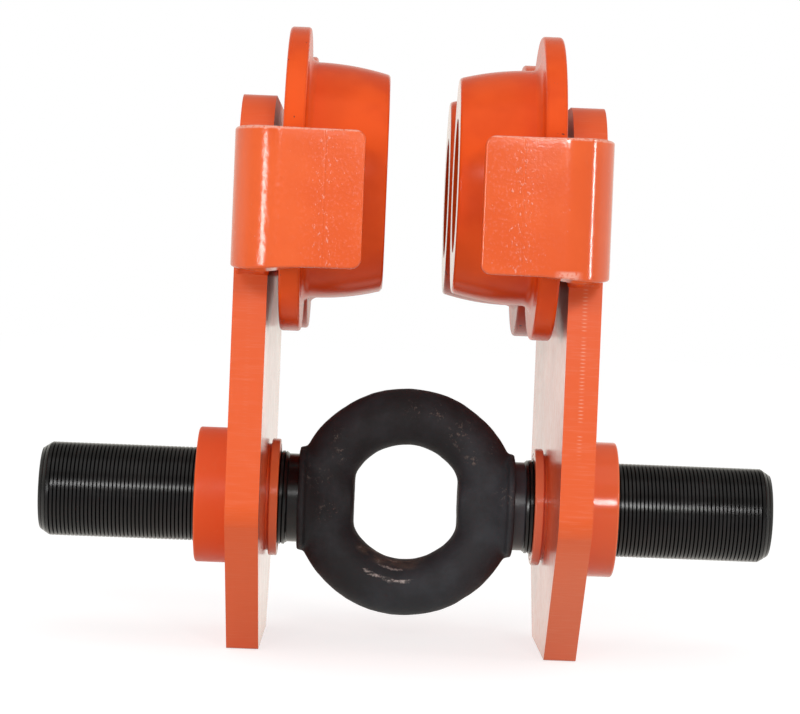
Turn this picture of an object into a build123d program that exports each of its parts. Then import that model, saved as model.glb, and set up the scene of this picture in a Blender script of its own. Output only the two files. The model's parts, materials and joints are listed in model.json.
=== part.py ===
from build123d import *
from math import sqrt
import os

# Manual beam trolley. Two side plates carry flanged wheels that roll on the
# bottom flange of a beam. One forged spindle with a lifting eye in its middle
# joins them: its ends have opposite-handed threads, so turning the eye draws
# both plates in or out together.
#
# Millimetres. The origin is the middle of the lifting eye. X runs along the
# spindle, Y along the beam and Z up. Left is -X and front is -Y.

# Load spindle
thread_dia = 36.0
spindle_length = 280.0
end_chamfer_length = 3.5
end_chamfer_depth = 2.3
eye_hole_dia = 44.0
eye_flat_depth = 2.2
eye_section_dia = 22.0
root_dia = 19.0
root_land = 1.5
shoulder_step = 2.0
shoulder_inset = 2.6
shoulder_land = 2.5
neck_depth = 1.0
neck_width = 3.8

# Side plates, set for a narrow beam
plate_spacing = 106.5
plate_thickness = 12.0
plate_width = 172.0
plate_top = 150.0
plate_corner_radius = 28.0
taper_start = -2.0
taper_radius = 12.0
plate_bottom = -54.5
plate_bottom_width = 72.0
plate_bottom_radius = 2.0
plate_edge_radius = 0.6

# Spindle nuts and the rings that hold them in the plates
nut_wall = 2.45
nut_flange_step = 5.5
nut_flange_thickness = 15.0
nut_nose_length = 4.5
nut_edge_radius = 0.8
ring_wall = 1.95
ring_thickness = 3.4
ring_edge_radius = 0.5

# Wheels and their places
wheel_base = 117.0
axle_height = 120.0
wheel_gap = 4.25
wheel_width = 36.5
flange_height = 12.0
flange_thickness = 7.5
flange_edge_radius = 1.2
flange_root_radius = 3.5
tread_dia = 86.0
tread_taper = 4.0
tread_crown = 0.8
tread_end_radius = 1.2
hub_shoulder = 4.5
hub_chamfer = 1.0

# Sealed ball bearings, 20 x 47 x 14
bearing_bore = 20.0
bearing_dia = 47.0
bearing_width = 14.0
bearing_inset = 13.0
ball_dia = 7.938
ball_count = 8
raceway_depth = 1.6
seal_seat_depth = 0.95
seal_thickness = 1.2
seal_inset = 0.4
cage_wall = 2.4
cage_play = 0.3

# Stub axles
axle_tail_dia = 24.0
axle_shoulder = 4.0
axle_end_land = 3.8
axle_end_chamfer = 1.0

# Circlips that hold the bearings in the wheels and on the axles
hub_clip_thickness = 1.75
hub_clip_width = 3.6
hub_groove_depth = 1.25
axle_clip_thickness = 1.2
axle_clip_width = 2.6
axle_groove_depth = 0.5
clip_mouth = 7.0
clip_lug_dia = 5.0
clip_lug_hole = 2.0
clip_side_play = 0.1

# Bumpers, bent from flat bar, and the welds that hold them
bumper_height = 47.0
bumper_drop = 15.5
bumper_thickness = 8.0
bumper_bend_radius = 17.5
bumper_reach = 41.5
bumper_arm = 45.0
bumper_corner_radius = 3.5
bumper_edge_radius = 0.6
weld_leg = 5.0
tack_leg = 3.0
tack_arc = 18.0

# Radial clearances
thread_clearance = 0.05
fit_clearance = 0.05
ball_clearance = 0.10
pocket_clearance = 0.25
seal_clearance = 0.30

# Places that follow from the sizes above
plate_inner = plate_spacing / 2
plate_outer = plate_inner + plate_thickness
plate_end = plate_width / 2
axle_y = wheel_base / 2
eye_ring_radius = (eye_hole_dia + eye_section_dia) / 2
eye_flat = eye_hole_dia / 2 - eye_flat_depth
thread_radius = thread_dia / 2
neck_radius = thread_radius - neck_depth
shoulder_radius = thread_radius + shoulder_step
shoulder_face = eye_hole_dia / 2 + eye_section_dia - shoulder_inset
neck_end = shoulder_face + neck_width
bar_end = spindle_length / 2
flare_end = shoulder_face - shoulder_land
flare_start = eye_flat + root_land
nut_nose = plate_inner - nut_nose_length
nut_outer = plate_outer + nut_flange_thickness
nut_bore_radius = thread_radius + thread_clearance
nut_body_radius = nut_bore_radius + nut_wall
nut_flange_radius = nut_body_radius + nut_flange_step
ring_bore_radius = nut_body_radius + fit_clearance
ring_radius = ring_bore_radius + ring_wall
wheel_outer = plate_inner - wheel_gap
wheel_inner = wheel_outer - wheel_width
tread_start = wheel_outer - flange_thickness
tread_radius = tread_dia / 2
tread_tip = tread_radius - tread_taper
flange_radius = tread_radius + flange_height
bearing_outer = wheel_outer - bearing_inset
bearing_inner = bearing_outer - bearing_width
bearing_middle = (bearing_outer + bearing_inner) / 2
bumper_top = plate_top - bumper_drop
bumper_bottom = bumper_top - bumper_height
bumper_front = plate_end + bumper_reach
bumper_tip = plate_outer - bumper_arm
bumper_inside = plate_outer - bumper_thickness
axle_seat_radius = bearing_bore / 2 - fit_clearance
axle_tail_radius = axle_tail_dia / 2
axle_collar_radius = bearing_bore / 2 + axle_shoulder
hub_seat_radius = bearing_dia / 2 + fit_clearance
hub_bore_radius = bearing_dia / 2 - hub_shoulder
ball_radius = ball_dia / 2
pitch_radius = (bearing_bore + bearing_dia) / 4
inner_ring_radius = pitch_radius - ball_radius + raceway_depth
outer_ring_bore_radius = pitch_radius + ball_radius - raceway_depth
seal_seat_radius = outer_ring_bore_radius + seal_seat_depth
seal_depth = seal_inset + seal_thickness + fit_clearance
seal_centre = seal_inset + seal_thickness / 2
seal_outer_radius = seal_seat_radius - fit_clearance
seal_inner_radius = inner_ring_radius + seal_clearance
cage_width = bearing_width - 2 * (seal_depth + cage_play)
clip_lug_offset = clip_mouth / 2 + clip_lug_dia / 2
corner_level = plate_top - plate_corner_radius
weld_top = bumper_top + weld_leg

sides = {"left": -1, "right": 1}
ends = {"front": -1, "rear": 1}

os.makedirs("parts", exist_ok=True)


def keep(piece, name):
    """Label a finished piece and write its STEP file."""
    piece.part.label = name
    export_step(piece.part, f"parts/{name}.step")


def bar_plane(side):
    """Plane through the spindle: local x outwards on that side, local y up."""
    return Plane(origin=(0, 0, 0), x_dir=(side, 0, 0), z_dir=(0, -side, 0))


def axle_plane(side, end):
    """Plane through one axle: local x is the distance from the middle of the trolley, local y up."""
    return Plane(origin=(0, end * axle_y, axle_height), x_dir=(side, 0, 0), z_dir=(0, -side, 0))


def across_axle(side, end, distance):
    """Plane square to one axle at a distance from the middle, facing the middle, local y up."""
    return Plane(
        origin=(side * distance, end * axle_y, axle_height), x_dir=(0, -side, 0), z_dir=(-side, 0, 0)
    )


def corner_edge(level):
    """Distance of the plate's rounded top corner from the middle at a level."""
    rise = level - corner_level
    return plate_end - plate_corner_radius + sqrt(plate_corner_radius**2 - rise**2)


def nearest_corner(sketch, point):
    """The corner of a sketch nearest to a point in its own plane."""
    return sketch.vertices().sort_by_distance(point)[0]


def axle_axis(end):
    """The centre line of the axles at one end of the trolley."""
    return Axis((0, end * axle_y, axle_height), (1, 0, 0))


# The spindle: an eye ring about Y, and on each side a flared root, a
# shoulder, an undercut neck and the threaded bar
with BuildPart() as load_spindle:
    with BuildSketch(Plane.XY):
        with Locations((eye_ring_radius, 0)):
            Circle(eye_section_dia / 2)
    revolve(axis=Axis.Y)
    for side in sides.values():
        with BuildSketch(bar_plane(side)):
            with BuildLine():
                Polyline(
                    (flare_end, shoulder_radius),
                    (shoulder_face, shoulder_radius),
                    (shoulder_face, neck_radius),
                    (neck_end, neck_radius),
                    (neck_end, thread_radius),
                    (bar_end - end_chamfer_length, thread_radius),
                    (bar_end, thread_radius - end_chamfer_depth),
                    (bar_end, 0),
                    (eye_flat, 0),
                    (eye_flat, root_dia / 2),
                    (flare_start, root_dia / 2),
                )
                TangentArc(
                    (flare_start, root_dia / 2), (flare_end, shoulder_radius), tangent=(1, 0)
                )
            make_face()
        revolve(axis=Axis.X)
keep(load_spindle, "load_spindle")

# One side: the plate, the nut through it, the nut's ring and its tack welds
for side_name, side in sides.items():
    with BuildPart() as plate:
        with BuildSketch(
            Plane(origin=(side * plate_inner, 0, 0), x_dir=(0, side, 0), z_dir=(side, 0, 0))
        ) as outline:
            with BuildLine():
                Polyline(
                    (-plate_bottom_width / 2, plate_bottom),
                    (plate_bottom_width / 2, plate_bottom),
                    (plate_end, taper_start),
                    (plate_end, plate_top),
                    (-plate_end, plate_top),
                    (-plate_end, taper_start),
                    close=True,
                )
            make_face()
            for way in (-1, 1):
                fillet(nearest_corner(outline, (way * plate_end, plate_top)), plate_corner_radius)
                fillet(nearest_corner(outline, (way * plate_end, taper_start)), taper_radius)
                bottom_corner = (way * plate_bottom_width / 2, plate_bottom)
                fillet(nearest_corner(outline, bottom_corner), plate_bottom_radius)
            Circle(ring_bore_radius, mode=Mode.SUBTRACT)
            with Locations((-axle_y, axle_height), (axle_y, axle_height)):
                Circle(axle_tail_radius + fit_clearance, mode=Mode.SUBTRACT)
        extrude(amount=plate_thickness)
        broad_faces = plate.faces().filter_by(Axis.X).sort_by(SortBy.AREA)[-2:]
        fillet([edge for face in broad_faces for edge in face.outer_wire().edges()], plate_edge_radius)
    keep(plate, f"{side_name}_plate")

    # The nut has its flange outside the plate and its nose stands through
    with BuildPart() as nut:
        with BuildSketch(bar_plane(side)) as nut_profile:
            with BuildLine():
                Polyline(
                    (nut_nose, nut_bore_radius),
                    (nut_nose, nut_body_radius),
                    (plate_outer, nut_body_radius),
                    (plate_outer, nut_flange_radius),
                    (nut_outer, nut_flange_radius),
                    (nut_outer, nut_bore_radius),
                    close=True,
                )
            make_face()
            fillet(nearest_corner(nut_profile, (nut_outer, nut_flange_radius)), nut_edge_radius)
        revolve(axis=Axis.X)
    keep(nut, f"{side_name}_nut")

    # The ring is pressed on the nut's nose, a little clear of the plate
    with BuildPart() as ring:
        with BuildSketch(bar_plane(side)) as ring_profile:
            with BuildLine():
                Polyline(
                    (nut_nose, ring_bore_radius),
                    (nut_nose, ring_radius),
                    (nut_nose + ring_thickness, ring_radius),
                    (nut_nose + ring_thickness, ring_bore_radius),
                    close=True,
                )
            make_face()
            fillet(ring_profile.vertices().group_by(Axis.Y)[-1], ring_edge_radius)
        revolve(axis=Axis.X)
    keep(ring, f"{side_name}_retaining_ring")

    # Two short fillet tacks, under and behind the flange, stop the nut turning
    with BuildPart() as tacks:
        for tack_turn in (-90.0, 45.0):
            tack_plane = bar_plane(1).rotated((tack_turn - 90.0 - tack_arc / 2, 0, 0))
            with BuildSketch(tack_plane):
                with BuildLine():
                    Polyline(
                        (side * plate_outer, nut_flange_radius),
                        (side * plate_outer, nut_flange_radius + tack_leg),
                        (side * (plate_outer + tack_leg), nut_flange_radius),
                        close=True,
                    )
                make_face()
            revolve(axis=Axis.X, revolution_arc=tack_arc)
    keep(tacks, f"{side_name}_nut_tacks")

# One corner: bumper, weld, axle, wheel, bearing and circlips
for end_name, end in ends.items():
    for side_name, side in sides.items():
        corner = f"{end_name}_{side_name}"

        # The bumper runs on from the plate's edge and bends in front of the wheel
        with BuildPart() as bumper:
            with BuildSketch(Plane.XY.offset(bumper_bottom)) as bend:
                with BuildLine():
                    Polyline(
                        (side * plate_outer, end * plate_end),
                        (side * plate_outer, end * bumper_front),
                        (side * bumper_tip, end * bumper_front),
                        (side * bumper_tip, end * (bumper_front - bumper_thickness)),
                        (side * bumper_inside, end * (bumper_front - bumper_thickness)),
                        (side * bumper_inside, end * plate_end),
                        close=True,
                    )
                make_face()
                outer_corner = (side * plate_outer, end * bumper_front)
                fillet(nearest_corner(bend, outer_corner), bumper_bend_radius)
                inner_corner = (side * bumper_inside, end * (bumper_front - bumper_thickness))
                fillet(nearest_corner(bend, inner_corner), bumper_bend_radius - bumper_thickness)
            extrude(amount=bumper_height)
            tip_edges = bumper.edges().filter_by(Axis.Y).group_by(Axis.X)
            fillet(tip_edges[0] if side > 0 else tip_edges[-1], bumper_corner_radius)
            front_faces = bumper.faces().filter_by(Axis.Y).sort_by(Axis.Y)
            front_face = front_faces[0] if end < 0 else front_faces[-1]
            fillet(front_face.outer_wire().edges().filter_by(Axis.Z, reverse=True), bumper_edge_radius)
        keep(bumper, f"{corner}_bumper")

        # The weld fills the step inside the bar and closes it above and below
        with BuildPart() as weld:
            with BuildSketch(Plane.XY.offset(bumper_bottom)):
                with BuildLine():
                    Polyline(
                        (side * plate_inner, end * plate_end),
                        (side * bumper_inside, end * plate_end),
                        (side * bumper_inside, end * (plate_end + weld_leg)),
                        close=True,
                    )
                make_face()
            extrude(amount=bumper_height)
            across_plate = Plane(origin=(side * plate_inner, 0, 0), x_dir=(0, 1, 0), z_dir=(1, 0, 0))
            with BuildSketch(across_plate):
                with BuildLine():
                    Polyline(
                        (end * plate_end, bumper_bottom),
                        (end * (plate_end + weld_leg), bumper_bottom),
                        (end * plate_end, bumper_bottom - weld_leg),
                        close=True,
                    )
                make_face()
                with BuildLine():
                    arc_start = (end * plate_end, corner_level)
                    arc_end = (end * corner_edge(weld_top), weld_top)
                    arc_middle = (corner_level + weld_top) / 2
                    Polyline(
                        arc_start,
                        (end * plate_end, bumper_top),
                        (end * (plate_end + weld_leg), bumper_top),
                        arc_end,
                    )
                    ThreePointArc(arc_end, (end * corner_edge(arc_middle), arc_middle), arc_start)
                make_face()
            extrude(amount=side * plate_thickness)
        keep(weld, f"{corner}_weld")

        # The stub axle ends flush outside the plate and steps down to the bearing
        with BuildPart() as axle:
            groove_end = bearing_inner - axle_clip_thickness - clip_side_play
            with BuildSketch(axle_plane(side, end)) as axle_profile:
                with BuildLine():
                    Polyline(
                        (plate_outer, 0),
                        (plate_outer, axle_tail_radius),
                        (plate_inner, axle_tail_radius),
                        (plate_inner, axle_collar_radius),
                        (bearing_outer, axle_collar_radius),
                        (bearing_outer, axle_seat_radius),
                        (bearing_inner, axle_seat_radius),
                        (bearing_inner, axle_seat_radius - axle_groove_depth),
                        (groove_end, axle_seat_radius - axle_groove_depth),
                        (groove_end, axle_seat_radius),
                        (groove_end - axle_end_land + axle_end_chamfer, axle_seat_radius),
                        (groove_end - axle_end_land, axle_seat_radius - axle_end_chamfer),
                        (groove_end - axle_end_land, 0),
                        close=True,
                    )
                make_face()
            revolve(axis=axle_axis(end))
        keep(axle, f"{corner}_axle")

        # The wheel: flange beside the plate, crowned taper tread, stepped hub
        with BuildPart() as wheel:
            groove_end = bearing_inner - hub_clip_thickness - clip_side_play
            with BuildSketch(axle_plane(side, end)) as wheel_profile:
                with BuildLine():
                    Polyline(
                        (tread_start, tread_radius),
                        (tread_start, flange_radius),
                        (wheel_outer, flange_radius),
                        (wheel_outer, hub_bore_radius + hub_chamfer),
                        (wheel_outer - hub_chamfer, hub_bore_radius),
                        (bearing_outer, hub_bore_radius),
                        (bearing_outer, hub_seat_radius),
                        (bearing_inner, hub_seat_radius),
                        (bearing_inner, hub_seat_radius + hub_groove_depth),
                        (groove_end, hub_seat_radius + hub_groove_depth),
                        (groove_end, hub_seat_radius),
                        (wheel_inner + hub_chamfer, hub_seat_radius),
                        (wheel_inner, hub_seat_radius + hub_chamfer),
                        (wheel_inner, tread_tip),
                    )
                    ThreePointArc(
                        (wheel_inner, tread_tip),
                        (
                            (wheel_inner + tread_start) / 2,
                            (tread_tip + tread_radius) / 2 + tread_crown,
                        ),
                        (tread_start, tread_radius),
                    )
                make_face()
                fillet(nearest_corner(wheel_profile, (tread_start, tread_radius)), flange_root_radius)
                for flange_face in (tread_start, wheel_outer):
                    flange_corner = nearest_corner(wheel_profile, (flange_face, flange_radius))
                    fillet(flange_corner, flange_edge_radius)
                fillet(nearest_corner(wheel_profile, (wheel_inner, tread_tip)), tread_end_radius)
            revolve(axis=axle_axis(end))
        keep(wheel, f"{corner}_wheel")

        # Outer bearing ring with its raceway and a seat for each seal
        with BuildPart() as outer_ring:
            with BuildSketch(axle_plane(side, end)):
                with BuildLine():
                    Polyline(
                        (bearing_inner, seal_seat_radius),
                        (bearing_inner, bearing_dia / 2),
                        (bearing_outer, bearing_dia / 2),
                        (bearing_outer, seal_seat_radius),
                        (bearing_outer - seal_depth, seal_seat_radius),
                        (bearing_outer - seal_depth, outer_ring_bore_radius),
                        (bearing_inner + seal_depth, outer_ring_bore_radius),
                        (bearing_inner + seal_depth, seal_seat_radius),
                        close=True,
                    )
                make_face()
                with Locations((bearing_middle, pitch_radius)):
                    Circle(ball_radius + ball_clearance, mode=Mode.SUBTRACT)
            revolve(axis=axle_axis(end))
        keep(outer_ring, f"{corner}_bearing_outer_ring")

        # Inner bearing ring on the axle's seat
        with BuildPart() as inner_ring:
            with BuildSketch(axle_plane(side, end)):
                with Locations((bearing_middle, (bearing_bore / 2 + inner_ring_radius) / 2)):
                    Rectangle(bearing_width, inner_ring_radius - bearing_bore / 2)
                with Locations((bearing_middle, pitch_radius)):
                    Circle(ball_radius + ball_clearance, mode=Mode.SUBTRACT)
            revolve(axis=axle_axis(end))
        keep(inner_ring, f"{corner}_bearing_inner_ring")

        # The balls, and the cage that spaces them
        with BuildPart(across_axle(side, end, bearing_middle)) as balls:
            with PolarLocations(pitch_radius, ball_count):
                Sphere(ball_radius)
        keep(balls, f"{corner}_bearing_balls")

        with BuildPart(across_axle(side, end, bearing_middle)) as cage:
            Cylinder(pitch_radius + cage_wall / 2, cage_width)
            Cylinder(pitch_radius - cage_wall / 2, cage_width, mode=Mode.SUBTRACT)
            with PolarLocations(pitch_radius, ball_count):
                Cylinder(
                    ball_radius + pocket_clearance, ball_dia, rotation=(0, 90, 0), mode=Mode.SUBTRACT
                )
        keep(cage, f"{corner}_bearing_cage")

        # A rubber seal in each side of the outer ring, just clear of the inner one
        with BuildPart() as seals:
            for seal_middle in (bearing_inner + seal_centre, bearing_outer - seal_centre):
                with BuildSketch(axle_plane(side, end)):
                    with Locations((seal_middle, (seal_outer_radius + seal_inner_radius) / 2)):
                        Rectangle(seal_thickness, seal_outer_radius - seal_inner_radius)
                revolve(axis=axle_axis(end))
        keep(seals, f"{corner}_bearing_seals")

        # Circlip in the hub's groove: its lugs point inwards
        with BuildPart() as hub_clip:
            clip_outer = hub_seat_radius + hub_groove_depth - fit_clearance
            clip_inner = clip_outer - hub_clip_width
            with BuildSketch(across_axle(side, end, bearing_inner)):
                Circle(clip_outer)
                Circle(clip_inner, mode=Mode.SUBTRACT)
                with Locations((0, -clip_outer)):
                    Rectangle(clip_mouth, clip_outer, mode=Mode.SUBTRACT)
                lug_height = -sqrt((clip_outer - clip_lug_dia / 2) ** 2 - clip_lug_offset**2)
                with Locations((-clip_lug_offset, lug_height), (clip_lug_offset, lug_height)):
                    Circle(clip_lug_dia / 2)
                    Circle(clip_lug_hole / 2, mode=Mode.SUBTRACT)
            extrude(amount=hub_clip_thickness)
        keep(hub_clip, f"{corner}_hub_circlip")

        # Circlip in the axle's groove: its lugs point outwards
        with BuildPart() as axle_clip:
            clip_inner = axle_seat_radius - axle_groove_depth + fit_clearance
            clip_outer = clip_inner + axle_clip_width
            with BuildSketch(across_axle(side, end, bearing_inner)):
                Circle(clip_outer)
                Circle(clip_inner, mode=Mode.SUBTRACT)
                with Locations((0, -clip_outer)):
                    Rectangle(clip_mouth, clip_outer, mode=Mode.SUBTRACT)
                lug_height = -sqrt((clip_inner + clip_lug_dia / 2) ** 2 - clip_lug_offset**2)
                with Locations((-clip_lug_offset, lug_height), (clip_lug_offset, lug_height)):
                    Circle(clip_lug_dia / 2)
                    Circle(clip_lug_hole / 2, mode=Mode.SUBTRACT)
            extrude(amount=axle_clip_thickness)
        keep(axle_clip, f"{corner}_axle_circlip")
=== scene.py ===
import json
import logging
import math
from abc import ABC, abstractmethod
from dataclasses import dataclass
from enum import Enum
from typing import Callable, ClassVar, Mapping, Optional, Sequence, Union

import bmesh
import bpy
from mathutils import Matrix, Vector, noise

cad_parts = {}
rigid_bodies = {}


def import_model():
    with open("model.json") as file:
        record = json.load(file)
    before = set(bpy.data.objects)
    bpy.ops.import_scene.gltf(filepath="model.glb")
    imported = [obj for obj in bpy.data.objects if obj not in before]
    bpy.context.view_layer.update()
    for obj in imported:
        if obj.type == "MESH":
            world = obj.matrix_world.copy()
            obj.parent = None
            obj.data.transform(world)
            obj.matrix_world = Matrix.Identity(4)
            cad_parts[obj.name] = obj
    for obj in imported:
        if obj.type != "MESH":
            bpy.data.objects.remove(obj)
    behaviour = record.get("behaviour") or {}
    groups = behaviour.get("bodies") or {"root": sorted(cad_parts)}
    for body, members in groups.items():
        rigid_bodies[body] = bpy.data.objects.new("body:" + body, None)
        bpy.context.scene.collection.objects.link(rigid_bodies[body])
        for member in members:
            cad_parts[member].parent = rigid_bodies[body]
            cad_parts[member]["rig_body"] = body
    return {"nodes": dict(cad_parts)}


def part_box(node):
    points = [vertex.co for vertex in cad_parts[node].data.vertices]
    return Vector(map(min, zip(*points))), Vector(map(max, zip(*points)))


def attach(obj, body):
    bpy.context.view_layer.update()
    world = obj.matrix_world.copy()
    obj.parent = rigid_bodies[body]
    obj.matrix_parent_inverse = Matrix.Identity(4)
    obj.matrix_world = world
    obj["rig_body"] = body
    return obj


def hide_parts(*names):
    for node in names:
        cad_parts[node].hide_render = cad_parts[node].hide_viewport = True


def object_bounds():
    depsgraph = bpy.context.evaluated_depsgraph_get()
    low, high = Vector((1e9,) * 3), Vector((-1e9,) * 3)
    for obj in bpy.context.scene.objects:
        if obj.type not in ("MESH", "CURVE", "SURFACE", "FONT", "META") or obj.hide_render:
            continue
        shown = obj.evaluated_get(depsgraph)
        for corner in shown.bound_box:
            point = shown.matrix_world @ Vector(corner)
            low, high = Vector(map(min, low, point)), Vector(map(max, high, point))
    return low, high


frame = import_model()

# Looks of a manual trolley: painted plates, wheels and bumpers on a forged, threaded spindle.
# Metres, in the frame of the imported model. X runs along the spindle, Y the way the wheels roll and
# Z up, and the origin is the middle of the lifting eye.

CAD_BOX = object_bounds()
LOG = logging.getLogger("trolley")

FULL_TURN = 2 * math.pi
MERGE_GAP = 1e-6
SAME_PLACE = 1e-5
CREASE = math.radians(32)
RING_STEPS = 96

Colour = tuple[float, float, float]
Shape = bmesh.types.BMesh
Vert = bmesh.types.BMVert
Edge = bmesh.types.BMEdge
Socket = bpy.types.NodeSocket


class Way(Enum):
    """A choice that is also a way along an axis."""

    @property
    def label(self) -> str:
        """The choice's word in the names of nodes."""
        return self.name.lower()


class Side(Way):
    """The two sides of the trolley, and the way each lies along X."""

    LEFT = -1
    RIGHT = 1


class End(Way):
    """The two ends of the trolley, and the way each lies along Y."""

    FRONT = -1
    REAR = 1


class Slot(Enum):
    """Names of the record's material slots; no new piece is given one here."""

    PAINT = "orange_paint"
    FORGING = "black_forging"
    STEEL = "bright_steel"
    RUBBER = "seal_rubber"


# Shaders


class Value:
    """A shader number that can be used in Python sums."""

    def __init__(self, shader: "Shader", socket: Socket) -> None:
        """Keep a socket and the shader that it belongs to."""
        self.shader = shader
        self.socket = socket

    def _math(self, operation: str, *terms: Union[float, "Value"]) -> "Value":
        """Add a Math node.

        Args:
            operation: The Math node's operation.
            terms: Its inputs, in order.

        Returns:
            The node's result.
        """
        made = self.shader.node("ShaderNodeMath", {"operation": operation}, dict(enumerate(terms)))
        return Value(self.shader, made.outputs[0])

    def __add__(self, other: Union[float, "Value"]) -> "Value":
        """This value plus another."""
        return self._math("ADD", self, other)

    def __radd__(self, other: float) -> "Value":
        """A number plus this value."""
        return self._math("ADD", other, self)

    def __sub__(self, other: Union[float, "Value"]) -> "Value":
        """This value less another."""
        return self._math("SUBTRACT", self, other)

    def __rsub__(self, other: float) -> "Value":
        """A number less this value."""
        return self._math("SUBTRACT", other, self)

    def __mul__(self, other: Union[float, "Value"]) -> "Value":
        """This value times another."""
        return self._math("MULTIPLY", self, other)

    def __rmul__(self, other: float) -> "Value":
        """A number times this value."""
        return self._math("MULTIPLY", other, self)

    def __pow__(self, other: float) -> "Value":
        """This value to a power."""
        return self._math("POWER", self, other)

    def __abs__(self) -> "Value":
        """This value without its sign."""
        return self._math("ABSOLUTE", self)

    def band(self, low: float, high: float) -> "Value":
        """A smooth step.

        Args:
            low: Where the step gives 0.
            high: Where it gives 1, which may lie below low.

        Returns:
            A value from 0 to 1.
        """
        made = self.shader.node(
            "ShaderNodeMapRange",
            {"interpolation_type": "SMOOTHSTEP"},
            {"Value": self, "From Min": low, "From Max": high},
        )
        return Value(self.shader, made.outputs[0])

    def patches(self) -> "Value":
        """The soft-edged patches of a random pattern."""
        return self.band(0.35, 0.65)

    def tops(self) -> "Value":
        """The tops of a fine random pattern."""
        return self.band(0.4, 0.8)


def distance(along: Value, across: Value) -> Value:
    """The length of a step along one axis and across it."""
    return (along**2.0 + across**2.0) ** 0.5


class Shader:
    """The nodes of one material or world."""

    def __init__(self, tree: bpy.types.NodeTree) -> None:
        """Start from an empty tree."""
        self.tree = tree
        tree.nodes.clear()

    def node(
        self,
        kind: str,
        settings: Optional[Mapping[str, object]] = None,
        sockets: Optional[Mapping[Union[int, str], object]] = None,
    ) -> bpy.types.Node:
        """Add a node.

        Args:
            kind: The node's type.
            settings: Its properties, set first.
            sockets: A number, colour, socket or Value for each input.

        Returns:
            The new node.
        """
        made = self.tree.nodes.new(kind)
        for name, setting in (settings or {}).items():
            setattr(made, name, setting)
        for name, given in (sockets or {}).items():
            source = given.socket if isinstance(given, Value) else given
            if isinstance(source, Socket):
                self.tree.links.new(source, made.inputs[name])
            else:
                made.inputs[name].default_value = source
        return made

    def place(self) -> Socket:
        """The point on the piece, in its own coordinates."""
        return self.node("ShaderNodeTexCoord").outputs["Object"]

    def ray(self, kind: str) -> Value:
        """1 for the rays of a kind that Light Path names, else 0."""
        return Value(self, self.node("ShaderNodeLightPath").outputs[kind])

    def axes(self, place: Socket) -> tuple[Value, Value, Value]:
        """The three coordinates of a point.

        Args:
            place: The point.

        Returns:
            A value for each coordinate.
        """
        made = self.node("ShaderNodeSeparateXYZ", sockets={0: place})
        x, y, z = (Value(self, out) for out in made.outputs)
        return x, y, z

    def stretched(self, place: Socket, factors: Sequence[float]) -> Socket:
        """A point with each coordinate multiplied, so that a pattern is drawn out along some of them."""
        sums = {0: place, 1: tuple(factors)}
        return self.node("ShaderNodeVectorMath", {"operation": "MULTIPLY"}, sums).outputs[0]

    def slanted(self, place: Socket, angle: float, factors: Sequence[float]) -> Socket:
        """A point turned about Y and then stretched, so that a pattern runs aslant.

        Args:
            place: The point.
            angle: The turn, in degrees.
            factors: The factor of each coordinate after the turn.

        Returns:
            The new point.
        """
        sockets = {"Vector": place, "Rotation": (0.0, math.radians(angle), 0.0), "Scale": tuple(factors)}
        return self.node("ShaderNodeMapping", {"vector_type": "POINT"}, sockets).outputs[0]

    def turning(self, along: Value, radius: Value) -> Socket:
        """A point by its place along a shaft and its radius, so that a pattern runs round the shaft."""
        return self.node("ShaderNodeCombineXYZ", sockets={0: along, 1: radius}).outputs[0]

    def clouds(self, place: Socket, size: float, detail: float = 3.0, rough: float = 0.5) -> Value:
        """A soft random pattern.

        Args:
            place: The point that it is read at.
            size: The size of its largest patches.
            detail: How many finer layers it has.
            rough: How strong the finer layers are.

        Returns:
            A value about 0.5.
        """
        sockets = {"Vector": place, "Scale": 1 / size, "Detail": detail, "Roughness": rough}
        return Value(self, self.node("ShaderNodeTexNoise", sockets=sockets).outputs[0])

    def blend(
        self, mask: Union[float, Value], under: Union[Colour, Socket], over: Union[Colour, Socket]
    ) -> Socket:
        """Two colours mixed.

        Args:
            mask: The share of the second colour.
            under: The first colour.
            over: The second colour.

        Returns:
            The mixed colour.
        """
        pair = [(*c, 1.0) if isinstance(c, tuple) else c for c in (under, over)]
        made = self.node("ShaderNodeMix", {"data_type": "RGBA"}, {0: mask, 6: pair[0], 7: pair[1]})
        return made.outputs[2]

    def relief(self, height: Value, depth: float = 1.0) -> Socket:
        """A surface normal for a relief, whose height of 1 is a real depth."""
        made = self.node("ShaderNodeBump", sockets={"Height": height, "Distance": depth, "Strength": 1.0})
        return made.outputs[0]

    def surface(
        self,
        colour: Socket,
        roughness: Value,
        normal: Socket,
        shine: float = 0.5,
        metal: Union[float, Value] = 0.0,
        coat: Optional[Mapping[str, Union[float, Value]]] = None,
    ) -> None:
        """Finish a material with a Principled shader.

        Args:
            colour: The base colour.
            roughness: The roughness.
            normal: The normal of the relief.
            shine: The level of the plain gloss.
            metal: The share that is bare metal.
            coat: The inputs of a clear coat, if there is one.
        """
        sockets = {"Base Color": colour, "Roughness": roughness, "Metallic": metal, "Normal": normal}
        sockets.update({"Specular IOR Level": shine, **(coat or {})})
        made = self.node("ShaderNodeBsdfPrincipled", sockets=sockets)
        self.node("ShaderNodeOutputMaterial", sockets={"Surface": made.outputs[0]})


# Finishes


class Finish(ABC):
    """A finish that makes its material once."""

    name: str

    def material(self) -> bpy.types.Material:
        """The finish's material, made at its first use.

        Returns:
            The one material of this name.
        """
        found = bpy.data.materials.get(self.name)
        if found is not None:
            return found
        made = bpy.data.materials.new(self.name)
        made.use_nodes = True
        self.dress(Shader(made.node_tree))
        return made

    @abstractmethod
    def dress(self, shader: Shader) -> None:
        """Build the finish's nodes."""


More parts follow.
